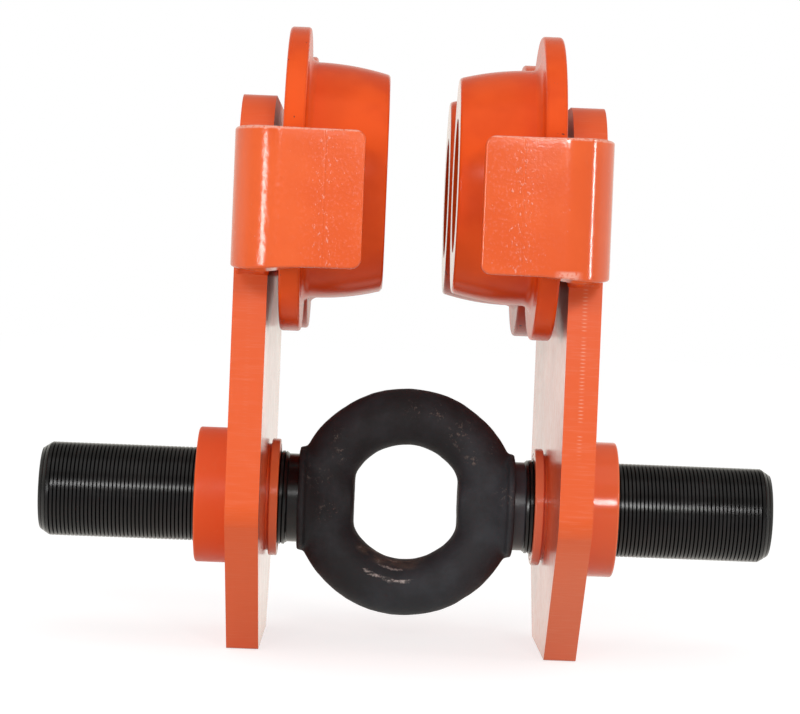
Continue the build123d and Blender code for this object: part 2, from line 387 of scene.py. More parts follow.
@dataclass(frozen=True, kw_only=True)
class GlossPaint(Finish):
    """Orange gloss enamel, sprayed on steel."""

    name: str
    colour: Colour = (0.78, 0.094, 0.013)
    deep: Colour = (0.72, 0.076, 0.010)
    pale: Colour = (0.82, 0.165, 0.055)
    pale_share: float = 0.35
    gloss: float = 0.15
    grain_dulling: float = 0.10
    shine: float = 0.35
    cloud_size: float = 0.030
    grain_size: float = 0.004
    grain_depth: float = 0.0000132
    peel_size: float = 0.0024
    peel_depth: float = 0.000022

    def dress(self, shader: Shader) -> None:
        """Build the enamel with its cloudy tone and orange peel.

        Args:
            shader: The material's nodes.
        """
        place = shader.place()
        cloud = shader.clouds(place, self.cloud_size)
        grain = shader.clouds(place, self.grain_size, 4.0, 0.65)
        tone = shader.blend(cloud.patches(), self.deep, self.colour)
        tone = shader.blend(grain.band(0.55, 0.80) * self.pale_share, tone, self.pale)
        peel = shader.clouds(place, self.peel_size, 2.0)
        height = peel * self.peel_depth + grain * self.grain_depth
        roughness = self.gloss + self.grain_dulling * grain.tops()
        tone, coat = self.cover(shader, tone)
        shader.surface(tone, roughness, shader.relief(height), self.shine, coat=coat)

    def cover(self, shader: Shader, tone: Socket) -> tuple[Socket, dict[str, Union[float, Value]]]:
        """The enamel's own tone, without a coat."""
        return tone, {}


@dataclass(frozen=True, kw_only=True)
class PlatePaint(GlossPaint):
    """Enamel on the plates' broad faces, with a glossy film inside and painted shade behind the wheels,
    which also dims the film there.
    """

    axle_y: float
    axle_z: float
    rim_radius: float
    rim_fade: float = 0.004
    middle: float
    middle_fade: float = 0.001
    film: float
    film_gloss: float = 0.18
    film_index: float = 1.70
    film_gaps: float = 0.15
    # Colour and share of the painted shade behind the wheels.
    grime: Colour = (0.060, 0.030, 0.020)
    grime_share: float = 0.35
    streak_size: float = 0.003
    streak_stretch: float = 0.25
    gloss: float = 0.30
    cloud_size: float = 0.022
    peel_size: float = 0.0035

    def cover(self, shader: Shader, tone: Socket) -> tuple[Socket, dict[str, Union[float, Value]]]:
        """Lay painted shade behind the wheels, dimming the film there, and the glossy film on the inner
        face.

        Args:
            shader: The material's nodes.
            tone: The enamel's own tone.

        Returns:
            The tone with the painted shade, and the film's inputs.
        """
        place = shader.place()
        x, y, z = shader.axes(place)
        cloud = shader.clouds(place, self.cloud_size)
        drawn = shader.stretched(place, (1.0, 1.0, self.streak_stretch))
        streaks = shader.clouds(drawn, self.streak_size, 4.0, 0.6)
        radius = distance(abs(y) - self.axle_y, z - self.axle_z)
        inside = abs(x).band(self.middle, self.middle - self.middle_fade)
        # Painted shade: the inner face is darkened within each wheel's rim, and the film's reflection is
        # taken away there.
        behind = radius.band(self.rim_radius + self.rim_fade, self.rim_radius - self.rim_fade) * inside
        wheel_shade_mask = behind * (self.grime_share + self.grime_share * streaks.patches())
        film = self.film * (1.0 - self.film_gaps + self.film_gaps * cloud.patches())
        weight = film * (1.0 - wheel_shade_mask) * inside
        coat = {"Coat Weight": weight, "Coat Roughness": self.film_gloss, "Coat IOR": self.film_index}
        return shader.blend(wheel_shade_mask, tone, self.grime), coat


@dataclass(frozen=True)
class BarPaint(Finish):
    """Enamel on the bent bars: a stippled skin with pale flecks painted as sheen on the flats, pale spatter
    by the press line that is partly painted glint, a painted highlight along the upper rim and a painted
    glint on the right bar's lower edge.
    """

    name: str
    press_line: float
    bend_start: float
    bend_y: float
    bend_radius: float
    rim: float
    foot: float
    shine: float
    colour: Colour = (0.78, 0.118, 0.026)
    deep: Colour = (0.73, 0.100, 0.020)
    pale: Colour = (0.88, 0.52, 0.42)
    gloss: float = 0.10
    left_dulling: float = 0.04
    left_fade: float = 0.02
    cloud_size: float = 0.022
    stipple_size: float = 0.0011
    stipple_depth: float = 0.00005
    stipple_dulling: float = 0.08
    stipple_share: float = 0.12
    stipple_least: float = 0.35
    wave_size: float = 0.0032
    wave_depth: float = 0.00013
    bend_fade: float = 0.002
    spatter_size: float = 0.0011
    spatter_slant: float = 35.0
    spatter_stretch: float = 0.6
    spatter_reach: float = 0.008
    spatter_near: float = 0.085
    spatter_flat: float = 0.04
    spatter_band: tuple[float, float] = (0.70, 0.79)
    spatter_depth: float = 0.00009
    spatter_share: float = 0.34
    line_width: float = 0.0006
    line_depth: float = 0.00009
    # The painted highlight along the top rim: its width and share.
    rim_width: float = 0.0009
    rim_share: float = 0.55
    # The painted glint on the right bar's lower edge: its middle, reach and height.
    chip_middle: float = 0.0500
    chip_reach: float = 0.0055
    chip_height: float = 0.0024

    def dress(self, shader: Shader) -> None:
        """Build the skin, the spatter, the press line, and the painted highlights on the rim and the lower
        edge.

        Args:
            shader: The material's nodes.
        """
        place = shader.place()
        x, y, z = shader.axes(place)
        left = x.band(self.left_fade, -self.left_fade)
        flat = abs(x).band(self.bend_start, self.press_line)
        bent = abs(x).band(self.bend_start - self.bend_fade, self.bend_start + self.bend_fade)
        beside = abs(abs(x) - self.press_line)
        near = beside.band(self.spatter_reach, 0.0)
        cloud = shader.clouds(place, self.cloud_size)
        stipple = shader.clouds(place, self.stipple_size, 3.0, 0.6)
        wavy = shader.clouds(place, self.wave_size, 2.0) * left * bent
        drawn = shader.slanted(place, self.spatter_slant, (1.0, 1.0, self.spatter_stretch))
        grit = shader.clouds(drawn, self.spatter_size, 3.0, 0.6)
        grit = grit + near * self.spatter_near + flat * self.spatter_flat
        spatter = grit.band(*self.spatter_band)
        skin = self.depth(x, y).band(2.5 * self.rim_width, 0.5 * self.rim_width)
        # Painted highlights: a pale line along the rounded top rim, and a pale glint streak along the right
        # bar's lower edge.
        paled = z.band(self.rim - self.rim_width, self.rim - 0.3 * self.rim_width)
        low_edge_glint = abs(x - self.chip_middle).band(self.chip_reach, 0.3 * self.chip_reach)
        low_edge_glint = low_edge_glint * z.band(self.foot + self.chip_height, self.foot + 0.5 * self.chip_height)
        paled = (paled + low_edge_glint) * skin * stipple.band(0.25, 0.55)
        tone = shader.blend(cloud.patches(), self.deep, self.colour)
        # Pale flecks on the flats: painted sheen in the stippled skin.
        tone = shader.blend(stipple.band(0.50, 0.85) * flat * self.stipple_share, tone, self.pale)
        # Pale spatter specks: real spatter in relief, with part of their brightness a painted glint.
        tone = shader.blend(spatter * self.spatter_share, tone, self.pale)
        tone = shader.blend(paled * self.rim_share, tone, self.pale)
        groove = beside.band(self.line_width, 0.0) * self.line_depth
        stippled = self.stipple_least + (1.0 - self.stipple_least) * flat
        height = stipple * stippled * self.stipple_depth + wavy * self.wave_depth
        height = height + spatter * self.spatter_depth - groove
        dulling = self.left_dulling * left + self.stipple_dulling * stipple.tops()
        shader.surface(tone, self.gloss + dulling, shader.relief(height), self.shine)

    def depth(self, x: Value, y: Value) -> Value:
        """How far a point lies under the bar's outer skin, on the leg, the bend or the arm.

        Args:
            x: The point's place along the spindle.
            y: The point's place across it.

        Returns:
            The distance, in metres.
        """
        along = abs(x) - self.bend_start
        across = abs(y) - self.bend_y
        past = [(part + abs(part)) * 0.5 for part in (along, across)]
        return self.bend_radius - distance(*past)


@dataclass(frozen=True)
class CutEdgePaint(Finish):
    """Enamel over a flame-cut edge, which keeps the fine drag lines of the cut."""

    name: str
    lined: float
    nicked: float
    dust: float
    colour: Colour = (0.78, 0.108, 0.020)
    pale: Colour = (0.84, 0.38, 0.25)
    gloss: float = 0.30
    line_dulling: float = 0.15
    shine: float = 0.35
    drag_stretch: float = 0.06
    line_size: float = 0.0006
    line_depth: float = 0.000015
    band_size: float = 0.006
    band_depth: float = 0.00006
    dust_top: float = 0.005
    dust_full: float = -0.02
    nick_line: float = 0.0593
    nick_reach: float = 0.0013
    nick_gap: float = 0.0013
    nick_wobble: float = 1.2
    nick_low: float = 0.018
    nick_low_fade: float = 0.02
    nick_high: float = 0.097
    nick_high_fade: float = 0.01
    nick_depth: float = 0.00004
    front_fade: float = 0.01

    def dress(self, shader: Shader) -> None:
        """Build the enamel, drag lines across the plate's thickness, a row of nicks down its middle and a
        paler tone towards the bottom.

        Args:
            shader: The material's nodes.
        """
        place = shader.place()
        x, y, z = shader.axes(place)
        drawn = shader.stretched(place, (self.drag_stretch, 1.0, 1.0))
        lines = shader.clouds(drawn, self.line_size, 2.0, 0.6)
        bands = shader.clouds(drawn, self.band_size)
        row = abs(abs(x) - self.nick_line).band(self.nick_reach, 0.0)
        row = row * z.band(self.nick_low, self.nick_low + self.nick_low_fade)
        row = row * z.band(self.nick_high, self.nick_high - self.nick_high_fade)
        row = row * y.band(0.0, -self.front_fade) * bands.band(0.30, 0.42)
        strokes = shader.node(
            "ShaderNodeTexWave",
            {"wave_type": "BANDS", "bands_direction": "Z"},
            {
                "Vector": place,
                "Scale": math.pi / (10 * self.nick_gap),
                "Distortion": self.nick_wobble,
                "Detail": 2.0,
            },
        )
        nicks = Value(shader, strokes.outputs["Fac"]).band(0.62, 0.92) * row * self.nicked
        # Paler towards the bottom of the edge.
        dusty = z.band(self.dust_top, self.dust_full) * self.dust
        tone = shader.blend(lines.band(0.46, 0.80) * self.lined + dusty, self.colour, self.pale)
        height = lines * self.line_depth + bands * self.band_depth + nicks * self.nick_depth
        tone = shader.blend(nicks, tone, self.pale)
        roughness = self.gloss + self.line_dulling * lines.tops()
        shader.surface(tone, roughness, shader.relief(height), self.shine)


@dataclass(frozen=True)
class WheelPaint(Finish):
    """Satin enamel on a turned wheel, with small chips along its rims."""

    name: str
    axle_y: float
    axle_z: float
    rim_radius: float
    tread_radius: float
    face: float
    colour: Colour = (0.79, 0.088, 0.011)
    deep: Colour = (0.68, 0.064, 0.008)
    bare: Colour = (0.035, 0.022, 0.018)
    gloss: float = 0.20
    cloud_dulling: float = 0.1
    chip_dulling: float = 0.3
    face_shine: float = 0.16
    shine: float = 0.15
    cloud_size: float = 0.028
    peel_size: float = 0.0026
    peel_depth: float = 0.00003
    mark_size: float = 0.0008
    mark_depth: float = 0.000006
    chip_size: float = 0.0022
    chip_depth: float = 0.0001
    rim_reach: tuple[float, float] = (0.0012, 0.0003)
    edge_reach: tuple[float, float] = (0.0016, 0.0008)
    edge_over: float = 0.0006
    face_reach: tuple[float, float] = (0.0012, 0.0004)

    def dress(self, shader: Shader) -> None:
        """Build the enamel, faint turning marks under it and the chips.

        Args:
            shader: The material's nodes.
        """
        place = shader.place()
        x, y, z = shader.axes(place)
        radius = distance(abs(y) - self.axle_y, z - self.axle_z)
        cloud = shader.clouds(place, self.cloud_size)
        peel = shader.clouds(place, self.peel_size, 2.0)
        marks = shader.clouds(shader.turning(x, radius), self.mark_size, 2.0)
        tone = shader.blend(cloud.patches(), self.deep, self.colour)
        rim = radius.band(*(self.rim_radius - reach for reach in self.rim_reach))
        edge = radius.band(*(self.tread_radius - reach for reach in self.edge_reach))
        edge = edge * radius.band(self.tread_radius + self.edge_over, self.tread_radius)
        chips = shader.clouds(place, self.chip_size, 2.0).band(0.72, 0.76)
        chips = chips * (rim + edge).band(0.0, 1.0)
        faced = abs(x).band(*(self.face + reach for reach in self.face_reach))
        height = peel * self.peel_depth + marks * self.mark_depth - chips * self.chip_depth
        dulling = self.cloud_dulling * cloud + self.chip_dulling * chips - self.face_shine * faced
        tone = shader.blend(chips, tone, self.bare)
        shader.surface(tone, self.gloss + dulling, shader.relief(height), self.shine)


@dataclass(frozen=True)
class Mark:
    """A place on the front of the eye where its skin is marked."""

    x: float
    z: float
    reach: float
    core: float = 0.2

    def mask(self, x: Value, z: Value) -> Value:
        """A soft round mask, 1 at the mark's middle."""
        return distance(x - self.x, z - self.z).band(self.reach, self.core * self.reach)


@dataclass(frozen=True)
class Scuff:
    """A bright ragged arc round the front of the eye, below its middle."""

    radius: float
    width: float
    start: float
    end: float
    fade_share: float = 0.25

    def mask(self, x: Value, radius: Value) -> Value:
        """A soft mask, 1 along the middle of the arc.

        Args:
            x: The place along the spindle.
            radius: The distance from the eye's middle.

        Returns:
            A value from 0 to 1.
        """
        fade = self.fade_share * (self.end - self.start)
        ends = x.band(self.start, self.start + fade) * x.band(self.end, self.end - fade)
        return abs(radius - self.radius).band(self.width, 0.0) * ends


@dataclass(frozen=True)
class ForgedBlack(Finish):
    """Blackened forging skin with brown stains, bright scuffs, a rubbed patch inside the eye, and painted
    bounce light that greys it towards the right and the bottom.
    """

    name: str = "forged_black"
    colour: Colour = (0.0165, 0.0176, 0.0192)
    # A grey for the random patches and for the painted bounce light.
    dull: Colour = (0.0340, 0.0395, 0.0460)
    stain: Colour = (0.150, 0.130, 0.112)
    rust: Colour = (0.120, 0.088, 0.066)
    bare: Colour = (0.46, 0.43, 0.40)
    roughness: float = 0.70
    shine: float = 0.28
    stains: tuple[Mark, ...] = (
        Mark(0.0015, 0.0360, 0.0050),
        Mark(0.0105, 0.0355, 0.0050),
        Mark(0.0200, 0.0270, 0.0080),
        Mark(0.0255, 0.0180, 0.0055),
        Mark(0.0330, 0.0220, 0.0035),
        Mark(0.0380, 0.0050, 0.0060),
        Mark(-0.0278, 0.0254, 0.0045),
        Mark(-0.0257, 0.0179, 0.0045),
        Mark(-0.0345, 0.0090, 0.0075),
        Mark(-0.0300, -0.0045, 0.0060),
    )
    stain_share: float = 0.8
    stain_depth: float = 0.00005
    scuffs: tuple[Scuff, ...] = (
        Scuff(0.0297, 0.0020, -0.0190, 0.0066),
        Scuff(0.0256, 0.0010, -0.0125, 0.0020),
    )
    scuff_level: float = -0.005
    scuff_strength: float = 0.62
    scuff_rag: float = 1.5
    scuff_band: tuple[float, float] = (0.28, 0.72)
    scuff_edge: float = 0.3
    scuff_least: float = 0.22
    scuff_pores: float = 0.5
    rub_radius: float = 0.0262
    rub_fade: float = 0.0022
    rub_level: tuple[float, float] = (-0.0150, -0.0200)
    rub_end: tuple[float, float] = (0.010, 0.002)
    rub_bright: float = 0.5
    rust_share: float = 0.8
    bare_metal: float = 0.4
    bare_gloss: float = 0.25
    cloud_gloss: float = 0.1
    front_fade: float = 0.004
    cloud_size: float = 0.014
    cloud_depth: float = 0.0004
    pore_size: float = 0.0016
    pore_depth: float = 0.00016
    streak_size: float = 0.0028
    streak_slant: float = -12.0
    streak_stretch: float = 0.45
    rag_size: float = 0.0010
    rag_slant: float = -6.0
    rag_stretch: float = 0.22
    dull_cloud: float = 0.55
    dull_side: float = 0.5
    dull_reach: tuple[float, float] = (-0.03, 0.05)

    def dress(self, shader: Shader) -> None:
        """Build the skin: pores, stains, scuffs, the rubbed patch and the painted bounce light.

        Args:
            shader: The material's nodes.
        """
        place = shader.place()
        x, y, z = shader.axes(place)
        radius = distance(x, z)
        front = y.band(self.front_fade, -self.front_fade)
        cloud = shader.clouds(place, self.cloud_size, 4.0, 0.6)
        pores = shader.clouds(place, self.pore_size, 4.0, 0.7)
        drawn = shader.slanted(place, self.streak_slant, (self.streak_stretch, 1.0, 1.0))
        streaks = shader.clouds(drawn, self.streak_size, 5.0, 0.62)
        drawn = shader.slanted(place, self.rag_slant, (self.rag_stretch, 1.0, 1.0))
        rag = shader.clouds(drawn, self.rag_size, 3.0, 0.6) - 0.5
        # Grey patches at random, and painted bounce light: greyer towards the right and the bottom.
        grey_and_bounce = self.dull_cloud * cloud.band(0.38, 0.68)
        grey_and_bounce = grey_and_bounce + self.dull_side * (x - z).band(*self.dull_reach)
        tone = shader.blend(grey_and_bounce, self.colour, self.dull)
        stained = sum(mark.mask(x, z) for mark in self.stains) * pores.band(0.54, 0.68) * front
        tone = shader.blend(stained * self.stain_share, tone, self.stain)
        arcs = sum(scuff.mask(x, radius) for scuff in self.scuffs) * front * z.band(0.0, self.scuff_level)
        scuffed = (arcs * self.scuff_strength + rag * self.scuff_rag).band(*self.scuff_band)
        scuffed = scuffed * arcs.band(0.0, self.scuff_edge)
        scuffed = scuffed * (self.scuff_least + self.scuff_pores * pores.band(0.42, 0.62))
        inside = radius.band(self.rub_radius, self.rub_radius - self.rub_fade)
        paled = inside * z.band(*self.rub_level) * x.band(*self.rub_end)
        tone = shader.blend(paled * streaks.band(0.30, 0.70) * self.rust_share, tone, self.rust)
        bright = (paled * streaks.band(0.56, 0.70) * self.rub_bright + scuffed).band(0.0, 1.0)
        height = cloud * self.cloud_depth + pores * self.pore_depth + stained * self.stain_depth
        tone = shader.blend(bright, tone, self.bare)
        roughness = self.roughness - self.bare_gloss * bright - self.cloud_gloss * cloud
        shader.surface(tone, roughness, shader.relief(height), self.shine, bright * self.bare_metal)


@dataclass(frozen=True)
class ThreadBlack(Finish):
    """Oil-blackened turned steel on the threaded bars."""

    name: str
    neck_end: float
    neck_fade: float = 0.0006
    side_fade: float = 0.01
    colour: Colour = (0.0036, 0.0034, 0.0038)
    worn: Colour = (0.018, 0.0172, 0.0172)
    dull_neck: Colour = (0.034, 0.036, 0.042)
    roughness: float = 0.22
    neck_dulling: float = 0.08
    grain_dulling: float = 0.05
    shine: float = 0.41
    cloud_size: float = 0.012
    grain_size: float = 0.0009
    grain_stretch: float = 0.3
    grain_depth: float = 0.000002

    def dress(self, shader: Shader) -> None:
        """Build the satin black with a little wear, duller on the right bar's neck.

        Args:
            shader: The material's nodes.
        """
        place = shader.place()
        x, _, _ = shader.axes(place)
        cloud = shader.clouds(place, self.cloud_size, 4.0, 0.6)
        grain = shader.clouds(shader.stretched(place, (self.grain_stretch, 1.0, 1.0)), self.grain_size)
        neck = x.band(self.neck_end + self.neck_fade, self.neck_end) * x.band(0.0, self.side_fade)
        tone = shader.blend(cloud.band(0.45, 0.75) * grain, self.colour, self.worn)
        tone = shader.blend(neck, tone, self.dull_neck)
        roughness = self.roughness + self.grain_dulling * grain + self.neck_dulling * neck
        shader.surface(tone, roughness, shader.relief(grain, self.grain_depth), self.shine)


@dataclass(frozen=True)
class TurnedSteel(Finish):
    """Bright steel with fine marks round the axle."""

    name: str
    axle_y: float
    axle_z: float
    colour: Colour = (0.56, 0.56, 0.57)
    dark: Colour = (0.38, 0.38, 0.39)
    dark_share: float = 0.6
    roughness: float = 0.24
    mark_dulling: float = 0.16
    mark_size: float = 0.0004
    mark_depth: float = 0.000006
    cloud_size: float = 0.009

    def dress(self, shader: Shader) -> None:
        """Build the steel with marks that follow the turning.

        Args:
            shader: The material's nodes.
        """
        place = shader.place()
        x, y, z = shader.axes(place)
        radius = distance(abs(y) - self.axle_y, z - self.axle_z)
        marks = shader.clouds(shader.turning(x, radius), self.mark_size)
        dark = shader.clouds(place, self.cloud_size).band(0.4, 0.7) * self.dark_share
        tone = shader.blend(dark, self.colour, self.dark)
        roughness = self.roughness + self.mark_dulling * marks
        shader.surface(tone, roughness, shader.relief(marks, self.mark_depth), metal=1.0)


@dataclass(frozen=True)
class SpringSteel(Finish):
    """Phosphated spring steel of the circlips."""

    name: str = "spring_steel"
    colour: Colour = (0.075, 0.075, 0.082)
    worn: Colour = (0.19, 0.19, 0.20)
    metal: float = 0.85
    roughness: float = 0.38
    grain_dulling: float = 0.2
    grain_size: float = 0.0006
    grain_depth: float = 0.00001
    cloud_size: float = 0.006

    def dress(self, shader: Shader) -> None:
        """Build the grey phosphate with a rubbed grain.

        Args:
            shader: The material's nodes.
        """
        place = shader.place()
        grain = shader.clouds(place, self.grain_size, 3.0, 0.6)
        paled = shader.clouds(place, self.cloud_size).band(0.5, 0.75) * grain
        tone = shader.blend(paled, self.colour, self.worn)
        roughness = self.roughness + self.grain_dulling * grain
        shader.surface(tone, roughness, shader.relief(grain, self.grain_depth), metal=self.metal)


@dataclass(frozen=True)
class SealRubber(Finish):
    """Matt moulded rubber of the bearing seals."""

    name: str = "seal_rubber"
    colour: Colour = (0.018, 0.018, 0.019)
    dusty: Colour = (0.045, 0.043, 0.041)
    roughness: float = 0.62
    grain_dulling: float = 0.15
    dust_size: float = 0.005
    grain_size: float = 0.0005
    grain_depth: float = 0.000015

    def dress(self, shader: Shader) -> None:
        """Build the rubber with a little dust.

        Args:
            shader: The material's nodes.
        """
        place = shader.place()
        dust = shader.clouds(place, self.dust_size, 4.0, 0.6)
        grain = shader.clouds(place, self.grain_size, 2.0)
        tone = shader.blend(dust.band(0.45, 0.75), self.colour, self.dusty)
        roughness = self.roughness + self.grain_dulling * grain
        shader.surface(tone, roughness, shader.relief(grain, self.grain_depth))


# Shapes


@dataclass(frozen=True)
class Point:
    """A corner of a profile, and the radius that it is rounded to."""

    along: float
    across: float
    radius: float = 0.0
    steps: int = 5


@dataclass(frozen=True)
class Shaft:
    """A turning line along X on one side of the trolley."""

    side: Side
    y: float = 0.0
    z: float = 0.0

    def lay(self, along: float, radius: float) -> Vector:
        """The place of a profile point, measured outwards from the middle."""
        return Vector((self.side.value * along, self.y, self.z + radius))


def span(node: str, axis: int) -> tuple[float, float]:
    """The nearest and farthest distance of a node from the middle.

    Args:
        node: The node's name.
        axis: 0 for X, 1 for Y or 2 for Z.

    Returns:
        Both distances, without their sign.
    """
    low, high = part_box(node)
    near, far = sorted((abs(low[axis]), abs(high[axis])))
    return near, far


def half_height(node: str) -> float:
    """Half of a node's height, which is the radius of a round one."""
    low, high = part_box(node)
    return (high.z - low.z) / 2


def middle_of(node: str) -> Vector:
    """The middle of a node's box."""
    low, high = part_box(node)
    return (low + high) / 2


def verts_in(parts: Sequence[object]) -> list[Vert]:
    """The points among some parts of a mesh."""
    return [part for part in parts if isinstance(part, Vert)]


def edges_in(parts: Sequence[object]) -> list[Edge]:
    """The edges among some parts of a mesh."""
    return [part for part in parts if isinstance(part, Edge)]


def whole(shape: Shape) -> list[object]:
    """All points, edges and faces of a mesh."""
    return shape.verts[:] + shape.edges[:] + shape.faces[:]


def draw(
    shape: Shape, points: Sequence[Point], lay: Callable[[float, float], Vector], closed: bool = True
) -> None:
    """Draw a profile as wire, with its corners rounded.

    Args:
        shape: The mesh that it is drawn in.
        points: The profile's corners, in order.
        lay: Gives a corner's place.
        closed: Whether the last corner joins the first.
    """
    corners = [shape.verts.new(lay(point.along, point.across)) for point in points]
    following = corners[1:] + corners[:1] if closed else corners[1:]
    for start, end in zip(corners, following):
        shape.edges.new((start, end))
    for corner, point in zip(corners, points):
        if point.radius > 0:
            way_in, way_out = (edge.other_vert(corner).co - corner.co for edge in corner.link_edges)
            tangent = point.radius / math.tan(way_in.angle(way_out) / 2)
            bmesh.ops.bevel(
                shape,
                geom=[corner],
                offset=tangent,
                offset_type="OFFSET",
                segments=point.steps,
                profile=0.5,
                affect="VERTICES",
                material=-1,
            )


def spin_round(shape: Shape, shaft: Shaft, steps: int) -> None:
    """Turn a wire profile round a shaft into a closed skin.

    Args:
        shape: The profile's mesh, which grows.
        shaft: The line that it is turned about.
        steps: How many steps make the full turn.
    """
    bmesh.ops.spin(
        shape,
        geom=whole(shape),
        cent=shaft.lay(0, 0),
        axis=(1, 0, 0),
        angle=FULL_TURN,
        steps=steps,
        use_merge=True,
    )
    bmesh.ops.remove_doubles(shape, verts=shape.verts, dist=MERGE_GAP)
    bmesh.ops.recalc_face_normals(shape, faces=shape.faces)


def turned(points: Sequence[Point], shaft: Shaft, closed: bool = True, steps: int = RING_STEPS) -> Shape:
    """A turned piece.

    Args:
        points: Its profile, as distances from the middle and radii.
        shaft: The line that it is turned about.
        closed: Whether the profile is a ring's, or runs from the line and back to it.
        steps: How many steps make the full turn.

    Returns:
        The closed mesh.
    """
    shape = bmesh.new()
    draw(shape, points, shaft.lay, closed)
    spin_round(shape, shaft, steps)
    return shape


def round_edges(shape: Shape, edges: Sequence[Edge], radius: float, steps: int) -> None:
    """Round some edges of a mesh.

    Args:
        shape: The mesh.
        edges: The edges.
        radius: The radius that they are rounded to.
        steps: How many faces make the rounding.
    """
    bmesh.ops.bevel(
        shape,
        geom=list(edges),
        offset=radius,
        offset_type="OFFSET",
        segments=steps,
        profile=0.5,
        affect="EDGES",
        clamp_overlap=True,
        material=-1,
    )


def cut(shape: Shape, spot: Vector, normal: Sequence[float], clear: bool = False) -> None:
    """Cut a mesh along a plane.

    Args:
        shape: The mesh.
        spot: A point of the plane.
        normal: The plane's normal.
        clear: Whether what lies beyond the plane is taken away.
    """
    bmesh.ops.bisect_plane(
        shape, geom=whole(shape), dist=MERGE_GAP, plane_co=spot, plane_no=normal, clear_outer=clear
    )


def thicken(shape: Shape, way: Vector) -> None:
    """Make a closed block from a flat mesh.

    Args:
        shape: The mesh, which grows.
        way: The step from its face to the block's far face.
    """
    grown = bmesh.ops.extrude_face_region(shape, geom=shape.faces[:])["geom"]
    bmesh.ops.translate(shape, verts=verts_in(grown), vec=way)
    bmesh.ops.recalc_face_normals(shape, faces=shape.faces)


def soften(shape: Shape, verts: Sequence[Vert], times: int) -> None:
    """Smooth some points of a mesh.

    Args:
        shape: The mesh.
        verts: The points.
        times: How many times they are smoothed.
    """
    for _ in range(times):
        bmesh.ops.smooth_vert(
            shape, verts=verts, factor=0.5, use_axis_x=True, use_axis_y=True, use_axis_z=True
        )


def meshed(name: str, shape: Shape) -> bpy.types.Mesh:
    """Keep a shape as mesh data.

    Args:
        name: The mesh's name.
        shape: The shape, which is used up.

    Returns:
        The mesh.
    """
    mesh = bpy.data.meshes.new(name)
    shape.to_mesh(mesh)
    shape.free()
    return mesh


def put_in(name: str, data: bpy.types.ID) -> bpy.types.Object:
    """Put a mesh, a lamp or a camera in the scene.

    Args:
        name: The object's name.
        data: What it shows.

    Returns:
        The object, at the origin.
    """
    made = bpy.data.objects.new(name, data)
    bpy.context.scene.collection.objects.link(made)
    return made


def fused(shape: Shape, grain: float, smoothing: int) -> Shape:
    """One skin round overlapping lumps.

    Args:
        shape: The lumps, each closed. It is used up.
        grain: The size of the new mesh's faces.
        smoothing: How many times its points are smoothed.

    Returns:
        The joined mesh.
    """
    mesh = meshed("lumps", shape)
    lumps = put_in("lumps", mesh)
    remesh = lumps.modifiers.new("fuse", "REMESH")
    remesh.mode = "VOXEL"
    remesh.voxel_size = grain
    depsgraph = bpy.context.evaluated_depsgraph_get()
    skin = bpy.data.meshes.new_from_object(lumps.evaluated_get(depsgraph))
    result = bmesh.new()
    result.from_mesh(skin)
    bpy.data.objects.remove(lumps)
    bpy.data.meshes.remove(mesh)
    bpy.data.meshes.remove(skin)
    soften(result, result.verts, smoothing)
    return result


def add_shape(shape: Shape, other: Shape) -> None:
    """Put one mesh into another.

    Args:
        shape: The mesh that grows.
        other: The mesh that is added. It is used up.
    """
    mesh = meshed("added", other)
    shape.from_mesh(mesh)
    bpy.data.meshes.remove(mesh)


def add_lump(shape: Shape, spot: Vector, size: float) -> None:
    """Add a ball of weld to a mesh."""
    bmesh.ops.create_icosphere(shape, subdivisions=3, radius=size, matrix=Matrix.Translation(spot))


def roughen(shape: Shape, size: float, depth: float) -> None:
    """Push a mesh's points in and out along its normals by a soft random pattern.

    Args:
        shape: The mesh.
        size: The size of the pattern's lumps.
        depth: The most that a point moves.
    """
    shape.normal_update()
    for vert in shape.verts:
        vert.co += vert.normal * (depth * noise.noise(vert.co / size))


def finish_piece(
    name: str,
    shape: Shape,
    finishes: Sequence[Finish],
    node: str,
    crease: float = CREASE,
) -> None:
    """Make a finished piece from a mesh, dress it and hang it on its body.

    Args:
        name: The piece's name.
        shape: Its mesh, which is used up.
        finishes: Its finishes, in the order of the faces' material numbers.
        node: The node that it stands for.
        crease: The angle between faces above which an edge stays sharp.
    """
    for face in shape.faces:
        face.smooth = True
    for edge in shape.edges:
        edge.smooth = edge.calc_face_angle(0.0) < crease
    mesh = meshed(name, shape)
    for finish in finishes:
        mesh.materials.append(finish.material())
    piece = put_in(name, mesh)
    level = piece.modifiers.new("level_faces", "WEIGHTED_NORMAL")
    level.keep_sharp = True
    body = frame["nodes"][node]["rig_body"]
    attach(piece, body)
    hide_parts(node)
    LOG.info("%s rides on %s, %d faces", name, body, len(mesh.polygons))


# The spindle


